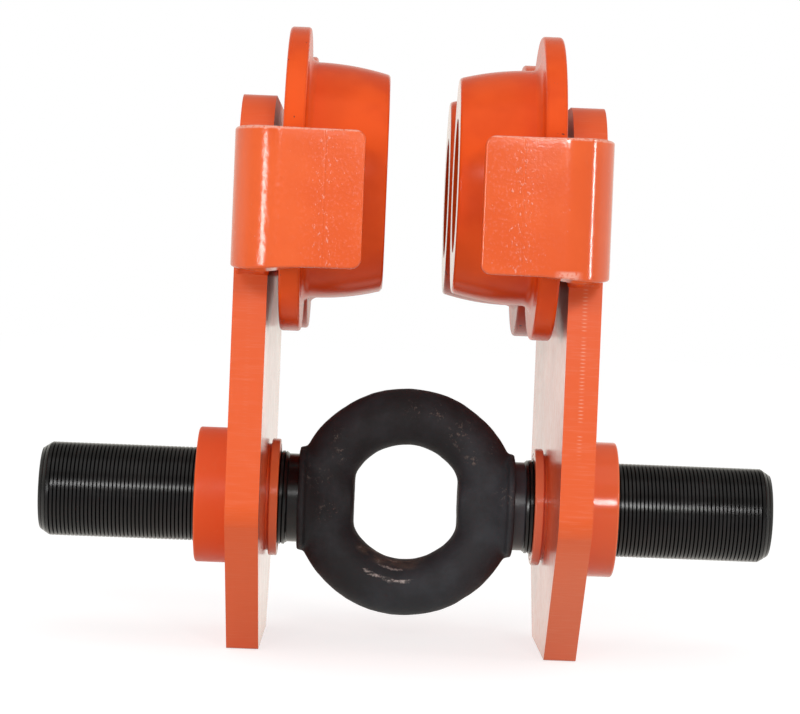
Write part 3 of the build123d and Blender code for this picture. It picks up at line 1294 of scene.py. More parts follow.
@dataclass
class Spindle:
    """The forged lifting eye and its two threaded bars."""

    node: str = "load_spindle"
    eye_ring_radius: float = 0.033
    eye_section_radius: float = 0.011
    eye_flat: float = 0.0198
    root_radius: float = 0.0095
    root_ease: float = 0.97
    root_land: float = 0.0015
    shoulder_land: float = 0.0025
    shoulder_radius: float = 0.020
    shoulder_face: float = 0.0414
    shoulder_edge: float = 0.0006
    neck_radius: float = 0.017
    neck_end: float = 0.0452
    face_radius: float = 0.0185
    face_depth: float = 0.0012
    face_proud: float = 0.0001
    thread_radius: float = 0.018
    pitch: float = 0.0015
    thread_depth: float = 0.00060
    crest_share: float = 0.62
    turn_steps: int = 72
    chamfer_length: float = 0.0035
    chamfer_depth: float = 0.0023
    thread_gap: float = 2e-6
    section_steps: int = 64
    ring_steps: int = 160
    forging_grain: float = 0.00075
    forging_smoothing: int = 26
    root_smoothing: int = 30
    shoulder_smoothing: int = 3
    forging_crease: float = math.radians(80)
    skin_lumps: tuple[tuple[float, float], ...] = ((0.011, 0.00020), (0.0032, 0.00008))

    def __post_init__(self) -> None:
        """Take the bar's end from the frame."""
        self.bar_end = span(self.node, 0)[1]

    def build(self) -> None:
        """Make the eye and both bars."""
        skin = [ForgedBlack()]
        finish_piece("lifting_eye", self.eye(), skin, self.node, self.forging_crease)
        black = [ThreadBlack("thread_black", self.neck_end)]
        for side in Side:
            bar = self.bar(Shaft(side))
            finish_piece(f"{side.label}_threaded_bar", bar, black, self.node)

    def eye(self) -> Shape:
        """The eye ring, its flared roots and the shoulders, as one rough forging.

        Returns:
            The closed mesh.
        """
        shape = bmesh.new()
        ring_place = Matrix.Translation((self.eye_ring_radius, 0, 0))
        section = bmesh.ops.create_circle(
            shape, segments=self.section_steps, radius=self.eye_section_radius, matrix=ring_place
        )
        edges = dict.fromkeys(edge for vert in section["verts"] for edge in vert.link_edges)
        bmesh.ops.spin(
            shape,
            geom=section["verts"] + list(edges),
            cent=(0, 0, 0),
            axis=(0, 1, 0),
            angle=FULL_TURN,
            steps=self.ring_steps,
            use_merge=True,
        )
        for side in Side:
            add_shape(shape, turned(self.root_profile(), Shaft(side), closed=False))
        forging = fused(shape, self.forging_grain, self.forging_smoothing)
        self.ease_roots(forging)
        for side in Side:
            add_shape(forging, turned(self.shoulder_profile(), Shaft(side), closed=False))
        forging = fused(forging, self.forging_grain, self.shoulder_smoothing)
        for size, depth in self.skin_lumps:
            roughen(forging, size, depth)
        return forging

    def ease_roots(self, forging: Shape) -> None:
        """Smooth the creases where the roots run into the ring.

        Args:
            forging: The ring and its roots.
        """
        start, end = self.eye_ring_radius - self.eye_section_radius, self.shoulder_face
        crease = [vert for vert in forging.verts if start < abs(vert.co.x) < end]
        soften(forging, crease, self.root_smoothing)

    def root_profile(self) -> list[Point]:
        """One root, from the flat inside the eye, flaring out to the shoulder.

        Returns:
            The profile, from the shaft's line and back to it.
        """
        start = self.eye_flat + self.root_land
        end = self.shoulder_face - self.shoulder_land
        run = end - start
        rise = self.shoulder_radius - self.root_radius
        reach = (run**2 + rise**2) / 2
        return [
            Point(self.eye_flat, 0),
            Point(self.eye_flat, self.root_radius),
            Point(start + reach / run, self.root_radius, self.root_ease * reach / rise, 12),
            Point(end, self.shoulder_radius),
            Point(end, 0),
        ]

    def shoulder_profile(self) -> list[Point]:
        """One shoulder, whose turned face stands a little proud of the forging.

        Returns:
            The profile, from the shaft's line and back to it.
        """
        start = self.shoulder_face - 2 * self.shoulder_land
        end = self.shoulder_face - self.face_proud
        return [
            Point(start, 0),
            Point(start, self.root_radius),
            Point(self.shoulder_face - self.shoulder_land, self.shoulder_radius),
            Point(end, self.shoulder_radius, self.shoulder_edge, 4),
            Point(end, 0),
        ]

    def bar(self, shaft: Shaft) -> Shape:
        """A threaded bar with its neck and the turned face of its shoulder.

        Args:
            shaft: The bar's line.

        Returns:
            The closed mesh.
        """
        shape = bmesh.new()
        root = self.thread_radius - self.thread_depth
        crest = self.crest_share * self.pitch
        flank = (self.pitch - crest) / 2
        first = self.neck_end - self.pitch
        draw(
            shape,
            [
                Point(first, root),
                Point(first + flank, self.thread_radius),
                Point(first + flank + crest, self.thread_radius),
                Point(first + self.pitch, root),
            ],
            shaft.lay,
            closed=False,
        )
        bmesh.ops.spin(
            shape,
            geom=whole(shape),
            cent=(0, 0, 0),
            axis=(1, 0, 0),
            dvec=(shaft.side.value * self.pitch / self.turn_steps, 0, 0),
            angle=FULL_TURN,
            steps=self.turn_steps,
        )
        turns = 1
        while turns * self.pitch < self.bar_end - first:
            copied = bmesh.ops.duplicate(shape, geom=whole(shape))["geom"]
            step = (shaft.side.value * turns * self.pitch, 0, 0)
            bmesh.ops.translate(shape, verts=verts_in(copied), vec=step)
            turns *= 2
        bmesh.ops.remove_doubles(shape, verts=shape.verts, dist=self.thread_gap)
        for along, way in ((self.neck_end, -1), (self.bar_end, 1)):
            cut(shape, shaft.lay(along, 0), (shaft.side.value * way, 0, 0), clear=True)
        for vert in shape.verts:
            self.trim(vert)
        bmesh.ops.remove_doubles(shape, verts=shape.verts, dist=self.thread_gap)
        self.close_ends(shape, shaft)
        bmesh.ops.recalc_face_normals(shape, faces=shape.faces)
        return shape

    def trim(self, vert: Vert) -> None:
        """Bring a point of the thread down to the chamfers at the bar's ends.

        The thread's grooves run on across the outer chamfer at half their depth.

        Args:
            vert: The point.
        """
        along = abs(vert.co.x)
        radius = math.hypot(vert.co.y, vert.co.z)
        slope = self.chamfer_depth / self.chamfer_length
        outer = self.thread_radius - self.chamfer_depth + slope * (self.bar_end - along)
        groove = (self.thread_radius - radius) / 2
        inner = self.neck_radius + along - self.neck_end
        scale = min(1.0, (outer - groove) / radius, inner / radius)
        vert.co.y *= scale
        vert.co.z *= scale

    def close_ends(self, shape: Shape, shaft: Shaft) -> None:
        """Cap the bar's end, and carry its other end on as the neck and the shoulder.

        Args:
            shape: The thread.
            shaft: The bar's line.
        """
        rims = [edge for edge in shape.edges if edge.is_boundary]
        middle = (self.neck_end + self.bar_end) / 2
        tip = [edge for edge in rims if abs(edge.verts[0].co.x) > middle]
        bmesh.ops.edgeloop_fill(shape, edges=tip)
        rim = [edge for edge in rims if abs(edge.verts[0].co.x) < middle]
        for along, radius in (
            (self.shoulder_face, self.neck_radius),
            (self.shoulder_face, self.face_radius),
            (self.shoulder_face - self.face_depth, self.face_radius),
        ):
            grown = bmesh.ops.extrude_edge_only(shape, edges=rim)["geom"]
            rim = edges_in(grown)
            for vert in verts_in(grown):
                scale = radius / math.hypot(vert.co.y, vert.co.z)
                vert.co = (shaft.side.value * along, vert.co.y * scale, vert.co.z * scale)
        bmesh.ops.edgeloop_fill(shape, edges=rim)


# The sides


@dataclass
class SidePlate:
    """A side plate with its nut, the nut's ring and its tack welds."""

    side: Side
    corner_radius: float = 0.028
    taper_start: float = -0.002
    taper_radius: float = 0.012
    foot_width: float = 0.072
    foot_radius: float = 0.002
    edge_radius: float = 0.0007
    edge_angle: float = math.radians(80)
    edge_steps: int = 3
    hole_steps: int = 72
    nut_steps: int = 128
    nut_hole: float = 0.02055
    axle_hole: float = 0.01205
    nut_bore: float = 0.01805
    nut_edge: float = 0.0009
    nut_lead: float = 0.0012
    nose_edge: float = 0.0005
    small_edge: float = 0.0003
    fit_gap: float = 0.00005
    ring_edge: float = 0.0006
    tack_size: float = 0.0024
    tack_mean: float = 0.85
    tack_swing: float = 0.3
    tack_out: float = 0.25
    tack_proud: float = 0.3
    tack_turns: tuple[float, float] = (-90.0, 45.0)
    tack_arc: float = 18.0
    tack_steps: tuple[float, ...] = (-0.5, -0.17, 0.17, 0.5)
    tack_lump: float = 0.0025
    tack_grain: float = 0.0004
    tack_smoothing: int = 2
    film: ClassVar[dict[Side, float]] = {Side.LEFT: 1.0, Side.RIGHT: 0.72}
    nut_gloss: ClassVar[dict[Side, float]] = {Side.LEFT: 0.40, Side.RIGHT: 0.15}
    # The right nut's paler tone stands partly for painted sheen.
    nut_colour: ClassVar[dict[Side, Colour]] = {
        Side.LEFT: (0.84, 0.100, 0.014),
        Side.RIGHT: (0.86, 0.150, 0.046),
    }
    # Both rings are paler than the plain enamel: a painted sheen.
    ring_colour: ClassVar[dict[Side, Colour]] = {
        Side.LEFT: (0.88, 0.170, 0.052),
        Side.RIGHT: (0.82, 0.185, 0.085),
    }
    # Per side: drag lines, nicks, and paling towards the bottom of the cut edge.
    edge_wear: ClassVar[dict[Side, tuple[float, float, float]]] = {
        Side.LEFT: (0.08, 0.05, 0.05),
        Side.RIGHT: (0.12, 0.60, 0.22),
    }

    def __post_init__(self) -> None:
        """Take the plate's reach and the nut's sizes from the frame."""
        self.plate = f"{self.side.label}_plate"
        self.nut = f"{self.side.label}_nut"
        self.ring = f"{self.side.label}_retaining_ring"
        self.tacks = f"{self.side.label}_nut_tacks"
        self.inner, self.outer = span(self.plate, 0)
        low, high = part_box(self.plate)
        self.end, self.foot, self.top = high.y, low.z, high.z
        wheel = f"rear_{self.side.label}_wheel"
        self.axle_y, self.axle_z = middle_of(wheel).yz
        self.paint = PlatePaint(
            name=f"{self.side.label}_plate_paint",
            axle_y=self.axle_y,
            axle_z=self.axle_z,
            rim_radius=half_height(wheel),
            middle=(self.inner + self.outer) / 2,
            film=self.film[self.side],
        )

    def build(self) -> None:
        """Make the plate and what is fixed in it."""
        label = self.side.label
        edge = CutEdgePaint(f"{label}_edge_paint", *self.edge_wear[self.side])
        colour, gloss = self.nut_colour[self.side], self.nut_gloss[self.side]
        nut_paint = GlossPaint(name=f"{label}_nut_paint", colour=colour, deep=colour, gloss=gloss)
        colour = self.ring_colour[self.side]
        ring_paint = GlossPaint(name=f"{label}_ring_paint", colour=colour, deep=colour)
        for node, shape, finishes in (
            (self.plate, self.plate_shape(), [self.paint, edge]),
            (self.nut, self.nut_shape(), [nut_paint]),
            (self.ring, self.ring_shape(), [ring_paint]),
            (self.tacks, self.tack_shape(), [nut_paint]),
        ):
            finish_piece(f"{node}_painted", shape, finishes, node)

    def lay(self, along: float, across: float) -> Vector:
        """A point of the plate's outline, on its inner face."""
        return Vector((self.side.value * self.inner, along, across))

    def plate_shape(self) -> Shape:
        """The plate: its outline and holes filled, made thick and rounded along its edges.

        Returns:
            The closed mesh.
        """
        shape = bmesh.new()
        half_foot = self.foot_width / 2
        draw(
            shape,
            [
                Point(-half_foot, self.foot, self.foot_radius),
                Point(half_foot, self.foot, self.foot_radius),
                Point(self.end, self.taper_start, self.taper_radius, 10),
                Point(self.end, self.top, self.corner_radius, 24),
                Point(-self.end, self.top, self.corner_radius, 24),
                Point(-self.end, self.taper_start, self.taper_radius, 10),
            ],
            self.lay,
        )
        upright = Matrix.Rotation(math.pi / 2, 4, "Y")
        holes = [(0.0, 0.0, self.nut_hole)]
        holes += [(end.value * self.axle_y, self.axle_z, self.axle_hole) for end in End]
        for along, across, radius in holes:
            place = Matrix.Translation(self.lay(along, across)) @ upright
            bmesh.ops.create_circle(shape, segments=self.hole_steps, radius=radius, matrix=place)
        bmesh.ops.triangle_fill(shape, use_beauty=True, edges=shape.edges[:])
        thicken(shape, Vector((self.side.value * (self.outer - self.inner), 0, 0)))
        rims = [edge for edge in shape.edges if edge.calc_face_angle(0.0) > self.edge_angle]
        rims = [edge for edge in rims if abs(edge.verts[0].co.x - edge.verts[1].co.x) < MERGE_GAP]
        round_edges(shape, rims, self.edge_radius, self.edge_steps)
        for face in shape.faces:
            face.material_index = 0 if abs(face.normal.x) > 0.5 else 1
        return shape

    def nut_shape(self) -> Shape:
        """The nut, with its flange outside the plate and its nose through it.

        Returns:
            The closed mesh.
        """
        nose, outer = span(self.nut, 0)
        flange = span(self.nut, 2)[1]
        body = self.nut_hole - self.fit_gap
        mouth = self.nut_bore + self.nut_lead
        profile = [
            Point(nose, mouth),
            Point(nose, body, self.nose_edge, 3),
            Point(self.outer, body),
            Point(self.outer, flange, self.small_edge, 3),
            Point(outer, flange, self.nut_edge, 6),
            Point(outer, mouth, self.small_edge, 3),
            Point(outer - self.nut_lead, self.nut_bore),
            Point(nose + self.nut_lead, self.nut_bore),
        ]
        return turned(profile, Shaft(self.side), steps=self.nut_steps)

    def ring_shape(self) -> Shape:
        """The ring on the nut's nose.

        Returns:
            The closed mesh.
        """
        inner, outer = span(self.ring, 0)
        radius = span(self.ring, 2)[1]
        profile = [
            Point(inner, self.nut_hole),
            Point(inner, radius, self.ring_edge),
            Point(outer, radius, self.ring_edge),
            Point(outer, self.nut_hole),
        ]
        return turned(profile, Shaft(self.side), steps=self.nut_steps)

    def tack_shape(self) -> Shape:
        """Two short lumpy tack welds under the nut's flange.

        Returns:
            The closed mesh.
        """
        shape = bmesh.new()
        reach = span(self.nut, 2)[1] + self.tack_out * self.tack_size
        along = self.side.value * (self.outer + self.tack_proud * self.tack_size)
        for turn in self.tack_turns:
            for step in self.tack_steps:
                angle = math.radians(turn + step * self.tack_arc)
                place = Vector((along, reach * math.cos(angle), reach * math.sin(angle)))
                swing = self.tack_swing * noise.noise(place / self.tack_lump)
                add_lump(shape, place, self.tack_size * (self.tack_mean + swing))
        return fused(shape, self.tack_grain, self.tack_smoothing)


# The corners


@dataclass
class Bumper:
    """A flat bar bent in front of a wheel, and the weld that joins it to the plate."""

    side: Side
    end: End
    thickness: float = 0.008
    bend_radius: float = 0.0175
    bend_steps: int = 24
    leg_steps: int = 4
    arm_steps: int = 3
    tip_corner: float = 0.0036
    tip_steps: int = 8
    edge_radius: float = 0.0008
    edge_angle: float = math.radians(50)
    edge_steps: int = 3
    press_line: float = 0.0135
    press_angle: float = 1.1
    bulge_low: float = 0.0021
    bulge_high: float = 0.0008
    bulge_size: float = 0.010
    grid: float = 0.0025
    bead_leg: float = 0.0030
    bead_radius: float = 0.0030
    bead_inset: float = 0.002
    bead_scales: tuple[float, float, float] = (1.0, 0.6, 0.9)
    bead_gap: float = 0.6
    bead_swing: float = 0.25
    bead_sunk: float = 0.4
    bead_grain: float = 0.0005
    bead_smoothing: int = 6
    fillet_inset: float = 0.0006
    fillet_over: float = 0.0004
    fillet_sunk: float = 0.3
    fillet_hollow: tuple[float, float] = (0.36, 0.40)
    weld_pale: Colour = (0.80, 0.40, 0.24)
    weld_peel: float = 0.0012
    weld_crease: float = math.radians(70)
    ripple: float = 420.0
    ripple_depth: float = 0.0004
    shine: ClassVar[dict[Side, float]] = {Side.LEFT: 0.42, Side.RIGHT: 0.55}

    def __post_init__(self) -> None:
        """Take the bar's reach from the frame."""
        corner = f"{self.end.label}_{self.side.label}"
        self.bar = f"{corner}_bumper"
        self.weld = f"{corner}_weld"
        self.tip, self.outside = span(self.bar, 0)
        self.root, self.front = span(self.bar, 1)
        self.low, self.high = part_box(self.bar)[0].z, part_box(self.bar)[1].z
        self.inside = self.outside - self.thickness
        self.plate_inner = span(f"{self.side.label}_plate", 0)[0]

    def build(self) -> None:
        """Make the bar and its weld."""
        bar_paint = BarPaint(
            name=f"{self.side.label}_bar_paint",
            press_line=self.tip + self.press_line,
            bend_start=self.outside - self.bend_radius,
            bend_y=self.front - self.bend_radius,
            bend_radius=self.bend_radius,
            rim=self.high,
            foot=self.low,
            shine=self.shine[self.side],
        )
        finish_piece(f"{self.bar}_painted", self.bar_shape(), [bar_paint], self.bar)
        weld_paint = GlossPaint(name="weld_paint", pale=self.weld_pale, peel_size=self.weld_peel)
        weld = self.weld_shape()
        finish_piece(f"{self.weld}_painted", weld, [weld_paint], self.weld, crease=self.weld_crease)

    def place(self, x: float, y: float, z: float) -> Vector:
        """A point of this corner from its distances to the middle planes."""
        return Vector((self.side.value * x, self.end.value * y, z))

    def bar_shape(self) -> Shape:
        """The bent bar: a section carried along the leg, round the bend and out to the tip.

        Returns:
            The closed mesh.
        """
        shape = bmesh.new()
        outline = (
            (self.inside, self.low),
            (self.outside, self.low),
            (self.outside, self.high),
            (self.inside, self.high),
        )
        corners = [shape.verts.new(self.place(x, self.root, z)) for x, z in outline]
        section = [shape.edges.new(pair) for pair in zip(corners, corners[1:] + corners[:1])]
        bend = self.front - self.bend_radius
        for _ in range(self.leg_steps):
            section = self.carry(shape, section, self.place(0, (bend - self.root) / self.leg_steps, 0))
        centre = self.place(self.outside - self.bend_radius, bend, 0)
        turn = self.side.value * self.end.value * math.pi / 2
        ends = list(dict.fromkeys(vert for edge in section for vert in edge.verts))
        spun = bmesh.ops.spin(
            shape, geom=ends + section, cent=centre, axis=(0, 0, 1), angle=turn, steps=self.bend_steps
        )
        section = edges_in(spun["geom_last"])
        arm = self.outside - self.bend_radius - self.tip - self.press_line
        for _ in range(self.arm_steps):
            section = self.carry(shape, section, self.place(-arm / self.arm_steps, 0, 0))
        self.carry(shape, section, self.place(-self.press_line, 0, 0))
        bmesh.ops.edgeloop_fill(shape, edges=[edge for edge in shape.edges if edge.is_boundary])
        bmesh.ops.remove_doubles(shape, verts=shape.verts, dist=MERGE_GAP)
        bmesh.ops.recalc_face_normals(shape, faces=shape.faces)
        self.round_bar(shape)
        self.cut_grid(shape)
        self.swell(shape, centre)
        self.lean_tip(shape)
        return shape

    def round_bar(self, shape: Shape) -> None:
        """Round the corners of the bar's tip, and then all of its edges.

        Args:
            shape: The bar.
        """
        tip_x = self.side.value * self.tip
        corners = [
            edge
            for edge in shape.edges
            if all(abs(vert.co.x - tip_x) < SAME_PLACE for vert in edge.verts)
            and abs(edge.verts[0].co.z - edge.verts[1].co.z) < SAME_PLACE
        ]
        round_edges(shape, corners, self.tip_corner, self.tip_steps)
        rims = [edge for edge in shape.edges if edge.calc_face_angle(0.0) > self.edge_angle]
        round_edges(shape, rims, self.edge_radius, self.edge_steps)

    def cut_grid(self, shape: Shape) -> None:
        """Cut the bar's broad faces into a grid, so that they can be bent and swollen.

        Args:
            shape: The bar.
        """
        rows = int((self.high - self.low) / self.grid)
        cuts = [(Vector((0, 0, self.low + self.grid * row)), (0, 0, 1)) for row in range(1, rows)]
        columns = int((self.outside - self.bend_radius - self.tip) / self.grid)
        cuts += [(self.place(self.tip + self.grid * step, 0, 0), (1, 0, 0)) for step in range(2, columns)]
        for spot, normal in cuts:
            cut(shape, spot, normal)

    def carry(self, shape: Shape, section: Sequence[Edge], way: Vector) -> list[Edge]:
        """Carry the bar's section on by a step.

        Args:
            shape: The bar.
            section: The edges at the bar's end.
            way: The step.

        Returns:
            The edges at the bar's new end.
        """
        grown = bmesh.ops.extrude_edge_only(shape, edges=section)["geom"]
        bmesh.ops.translate(shape, verts=verts_in(grown), vec=way)
        return edges_in(grown)

    def swell(self, shape: Shape, centre: Vector) -> None:
        """Let the bar swell at the inside of the bend, where it was squeezed.

        Args:
            shape: The bar.
            centre: The middle of the bend.
        """
        inner = self.bend_radius - self.thickness
        squeezed = centre + self.place(inner, inner, 0) * math.sqrt(0.5)
        for vert in shape.verts:
            away = (vert.co.xy - squeezed.xy).length / self.bulge_size
            share = math.exp(-away * away)
            upper = vert.co.z > (self.low + self.high) / 2
            vert.co.z += share * (self.bulge_high if upper else -self.bulge_low)

    def lean_tip(self, shape: Shape) -> None:
        """Lean the bar's tip back a little from the line that the press left.

        Args:
            shape: The bar.
        """
        line = self.tip + self.press_line
        lean = math.tan(math.radians(self.press_angle))
        for vert in shape.verts:
            past = max(0.0, line - abs(vert.co.x))
            vert.co.y -= self.end.value * past * lean

    def weld_shape(self) -> Shape:
        """The weld: fillets under and over the joint of the bar and the plate, and a bead inside it.

        Returns:
            The closed mesh.
        """
        shape = bmesh.new()
        self.add_fillet(shape)
        self.add_beads(shape)
        weld = fused(shape, self.bead_grain, self.bead_smoothing)
        roughen(weld, 1 / self.ripple, self.ripple_depth)
        return weld

    def add_fillet(self, shape: Shape) -> None:
        """Add the hollow fillet weld under the bar, across the plate's edge.

        Args:
            shape: The weld, which grows.
        """
        sunk = self.fillet_sunk * self.bead_leg
        out, down = (share * self.bead_leg for share in self.fillet_hollow)
        section = [
            (self.root - sunk, self.low + sunk),
            (self.root + self.bead_leg, self.low + sunk),
            (self.root + self.bead_leg, self.low),
            (self.root + out, self.low - down),
            (self.root, self.low - self.bead_leg),
            (self.root - sunk, self.low - self.bead_leg),
        ]
        outer = self.outside - self.fillet_inset
        inner = self.plate_inner - self.fillet_over
        bead = bmesh.new()
        bead.faces.new([bead.verts.new(self.place(outer, y, z)) for y, z in section])
        thicken(bead, self.place(inner - outer, 0, 0))
        add_shape(shape, bead)

    def add_beads(self, shape: Shape) -> None:
        """Add the beads inside the joint and over it, the last one a lump by the wheel.

        Args:
            shape: The weld, which grows.
        """
        middle = (self.inside + self.plate_inner) / 2
        top = self.high - self.bead_sunk * self.bead_radius
        outer = self.outside - self.bead_inset
        runs = (
            ((middle, self.low), (middle, self.high)),
            ((outer, top), (middle, top)),
            ((middle, top), (self.plate_inner, top)),
        )
        for run, scale in zip(runs, self.bead_scales):
            start, finish = (self.place(x, self.root, z) for x, z in run)
            radius = scale * self.bead_radius
            count = max(2, round((finish - start).length / (self.bead_gap * radius)))
            for step in range(count + 1):
                spot = start.lerp(finish, step / count)
                swing = self.bead_swing * noise.noise(spot * self.ripple)
                add_lump(shape, spot, radius * (1.0 + swing))


@dataclass
class WheelSet:
    """A flanged wheel on its stub axle, with its sealed bearing and circlips."""

    side: Side
    end: End
    plate_paint: PlatePaint
    flange_thickness: float = 0.0075
    flange_height: float = 0.012
    flange_edge: float = 0.0012
    flange_root: float = 0.0035
    tread_taper: float = 0.004
    tread_crown: float = 0.0008
    tread_margin: float = 0.001
    tread_end: float = 0.0012
    hub_bore: float = 0.019
    hub_seat: float = 0.02355
    hub_chamfer: float = 0.001
    groove_depth: float = 0.00125
    groove_width: float = 0.00185
    tail_radius: float = 0.012
    collar_radius: float = 0.014
    seat_radius: float = 0.00995
    end_chamfer: float = 0.001
    tail_edge: float = 0.0006
    collar_edge: float = 0.0004
    tip_edge: float = 0.0002
    clip_groove: float = 0.0013
    clip_depth: float = 0.0005
    ring_chamfer: float = 0.0006
    ring_wall: float = 0.0043
    race_land: float = 0.0003
    race_half: float = 0.0034
    race_depth: float = 0.0016
    fit_gap: float = 0.00005
    wheel_steps: int = 168
    crown_steps: int = 12
    seal_thickness: float = 0.0012
    seal_gap: float = 0.0003
    seal_lips: int = 6
    seal_slope: float = 0.4
    seal_dip: float = 0.35
    small_edge: float = 0.0003

    def __post_init__(self) -> None:
        """Take the wheel's, axle's and bearing's places from the frame."""
        self.corner = f"{self.end.label}_{self.side.label}"
        self.wheel = f"{self.corner}_wheel"
        self.axle = f"{self.corner}_axle"
        self.inner, self.outer = span(self.wheel, 0)
        self.rim = half_height(self.wheel)
        middle = middle_of(self.wheel)
        self.shaft = Shaft(self.side, middle.y, middle.z)
        self.bearing_in, self.bearing_out = span(f"{self.corner}_bearing_inner_ring", 0)
        self.axle_tip, self.plate_outer = span(self.axle, 0)
        self.plate_inner = span(f"{self.side.label}_plate", 0)[0]
        self.steel = TurnedSteel("turned_steel", abs(middle.y), middle.z)

    def build(self) -> None:
        """Make the wheel, the axle and the bearing, and dress the nodes that stay."""
        tip = self.rim - self.flange_height - self.tread_taper
        paint = WheelPaint("wheel_paint", abs(self.shaft.y), self.shaft.z, self.rim, tip, self.inner)
        finish_piece(f"{self.wheel}_painted", self.wheel_shape(), [paint], self.wheel)
        finishes = [self.steel, self.plate_paint]
        finish_piece(f"{self.axle}_turned", self.axle_shape(), finishes, self.axle)
        self.build_bearing()
        self.dress_nodes()

    def wheel_shape(self) -> Shape:
        """The wheel: flange beside the plate, crowned taper tread and stepped hub.

        Returns:
            The closed mesh.
        """
        tread_start = self.outer - self.flange_thickness
        tread = self.rim - self.flange_height
        tip = tread - self.tread_taper
        groove = self.bearing_in - self.groove_width
        deep = self.hub_seat + self.groove_depth
        shape = bmesh.new()
        draw(
            shape,
            [
                Point(tread_start, tread, self.flange_root, 8),
                Point(tread_start, self.rim, self.flange_edge, 7),
                Point(self.outer, self.rim, self.flange_edge, 7),
                Point(self.outer, self.hub_bore + self.hub_chamfer, self.small_edge, 2),
                Point(self.outer - self.hub_chamfer, self.hub_bore),
                Point(self.bearing_out, self.hub_bore),
                Point(self.bearing_out, self.hub_seat),
                Point(self.bearing_in, self.hub_seat),
                Point(self.bearing_in, deep),
                Point(groove, deep),
                Point(groove, self.hub_seat),
                Point(self.inner + self.hub_chamfer, self.hub_seat),
                Point(self.inner, self.hub_seat + self.hub_chamfer, self.small_edge, 2),
                Point(self.inner, tip, self.tread_end, 7),
            ],
            self.shaft.lay,
        )
        self.crown_tread(shape)
        spin_round(shape, self.shaft, self.wheel_steps)
        return shape

    def crown_tread(self, shape: Shape) -> None:
        """Bow the profile's tread line outwards.

        Args:
            shape: The wheel's profile.
        """
        level = self.shaft.z + self.rim - self.flange_height - self.tread_taper
        high = [edge for edge in shape.edges if min(v.co.z for v in edge.verts) > level - self.tread_margin]
        line = max(high, key=lambda edge: edge.calc_length())
        start, finish = (vert.co.copy() for vert in line.verts)
        length = (finish - start).length
        cuts = bmesh.ops.subdivide_edges(shape, edges=[line], cuts=self.crown_steps - 1)["geom_inner"]
        for vert in verts_in(cuts):
            share = (vert.co - start).length / length
            vert.co.z += self.tread_crown * 4 * share * (1 - share)

    def axle_shape(self) -> Shape:
        """The stub axle, its tail flush with the plate's outside and painted over.

        Returns:
            The closed mesh.
        """
        groove = self.bearing_in - self.clip_groove
        low = self.seat_radius - self.clip_depth
        profile = [
            Point(self.plate_outer, 0),
            Point(self.plate_outer, self.tail_radius, self.tail_edge, 3),
            Point(self.plate_inner, self.tail_radius),
            Point(self.plate_inner, self.collar_radius, self.collar_edge, 2),
            Point(self.bearing_out, self.collar_radius, self.collar_edge, 2),
            Point(self.bearing_out, self.seat_radius),
            Point(self.bearing_in, self.seat_radius),
            Point(self.bearing_in, low),
            Point(groove, low),
            Point(groove, self.seat_radius),
            Point(self.axle_tip + self.end_chamfer, self.seat_radius, self.tip_edge, 2),
            Point(self.axle_tip, self.seat_radius - self.end_chamfer, self.tip_edge, 2),
            Point(self.axle_tip, 0),
        ]
        shape = turned(profile, self.shaft, closed=False)
        for face in shape.faces:
            face.material_index = 1 if abs(face.calc_center_median().x) > self.plate_inner else 0
        return shape

    def build_bearing(self) -> None:
        """Make the bearing's two rings and its two seals."""
        for ring in ("bearing_outer_ring", "bearing_inner_ring"):
            node = f"{self.corner}_{ring}"
            finish_piece(f"{node}_ground", self.ring_shape(node), [self.steel], node)
        node = f"{self.corner}_bearing_seals"
        finish_piece(f"{node}_moulded", self.seal_shape(node), [SealRubber()], node)

    def ring_shape(self, node: str) -> Shape:
        """A bearing ring with chamfered rims and its raceway.

        Args:
            node: The ring's node.

        Returns:
            The closed mesh.
        """
        outer = half_height(node)
        is_outer = node.endswith("outer_ring")
        bore = outer - self.ring_wall if is_outer else self.seat_radius + self.fit_gap
        track = bore - self.race_land if is_outer else outer + self.race_land
        middle = (self.bearing_in + self.bearing_out) / 2
        chamfer = self.ring_chamfer
        race = [
            Point(middle + self.race_half, track),
            Point(middle, track + (self.race_depth if is_outer else -self.race_depth)),
            Point(middle - self.race_half, track),
        ]
        if is_outer:
            profile = [
                Point(self.bearing_in, bore),
                Point(self.bearing_in, outer, chamfer, 3),
                Point(self.bearing_out, outer, chamfer, 3),
                Point(self.bearing_out, bore),
                *race,
            ]
        else:
            profile = [
                Point(self.bearing_out, outer, chamfer, 3),
                Point(self.bearing_out, bore, chamfer, 3),
                Point(self.bearing_in, bore, chamfer, 3),
                Point(self.bearing_in, outer, chamfer, 3),
                *reversed(race),
            ]
        return turned(profile, self.shaft)

    def seal_shape(self, node: str) -> Shape:
        """Both seals: thin discs with a moulded ring round their faces.

        Args:
            node: The seals' node.

        Returns:
            The closed mesh.
        """
        outer = half_height(node)
        near, far = span(node, 0)
        bore = half_height(f"{self.corner}_bearing_inner_ring") + self.seal_gap
        shape = bmesh.new()
        for face, back in ((near, near + self.seal_thickness), (far, far - self.seal_thickness)):
            dip = face + self.seal_dip * (back - face)
            lip = (outer - bore) / self.seal_lips
            slope = self.seal_slope * lip
            draw(
                shape,
                [
                    Point(face, bore, self.small_edge, 3),
                    Point(face, bore + lip),
                    Point(dip, bore + lip + slope),
                    Point(dip, outer - lip - 2 * slope),
                    Point(face, outer - lip - slope),
                    Point(face, outer),
                    Point(back, outer),
                    Point(back, bore, self.small_edge, 3),
                ],
                self.shaft.lay,
            )
        spin_round(shape, self.shaft, RING_STEPS)
        return shape

    def dress_nodes(self) -> None:
        """Give the balls, the cage and the circlips their finishes."""
        finishes = {
            "bearing_balls": self.steel,
            "bearing_cage": self.steel,
            "hub_circlip": SpringSteel(),
            "axle_circlip": SpringSteel(),
        }
        for part, finish in finishes.items():
            node = f"{self.corner}_{part}"
            for slot in frame["nodes"][node].material_slots:
                slot.material = finish.material()
            LOG.info("%s dressed in %s", node, finish.name)


# The studio


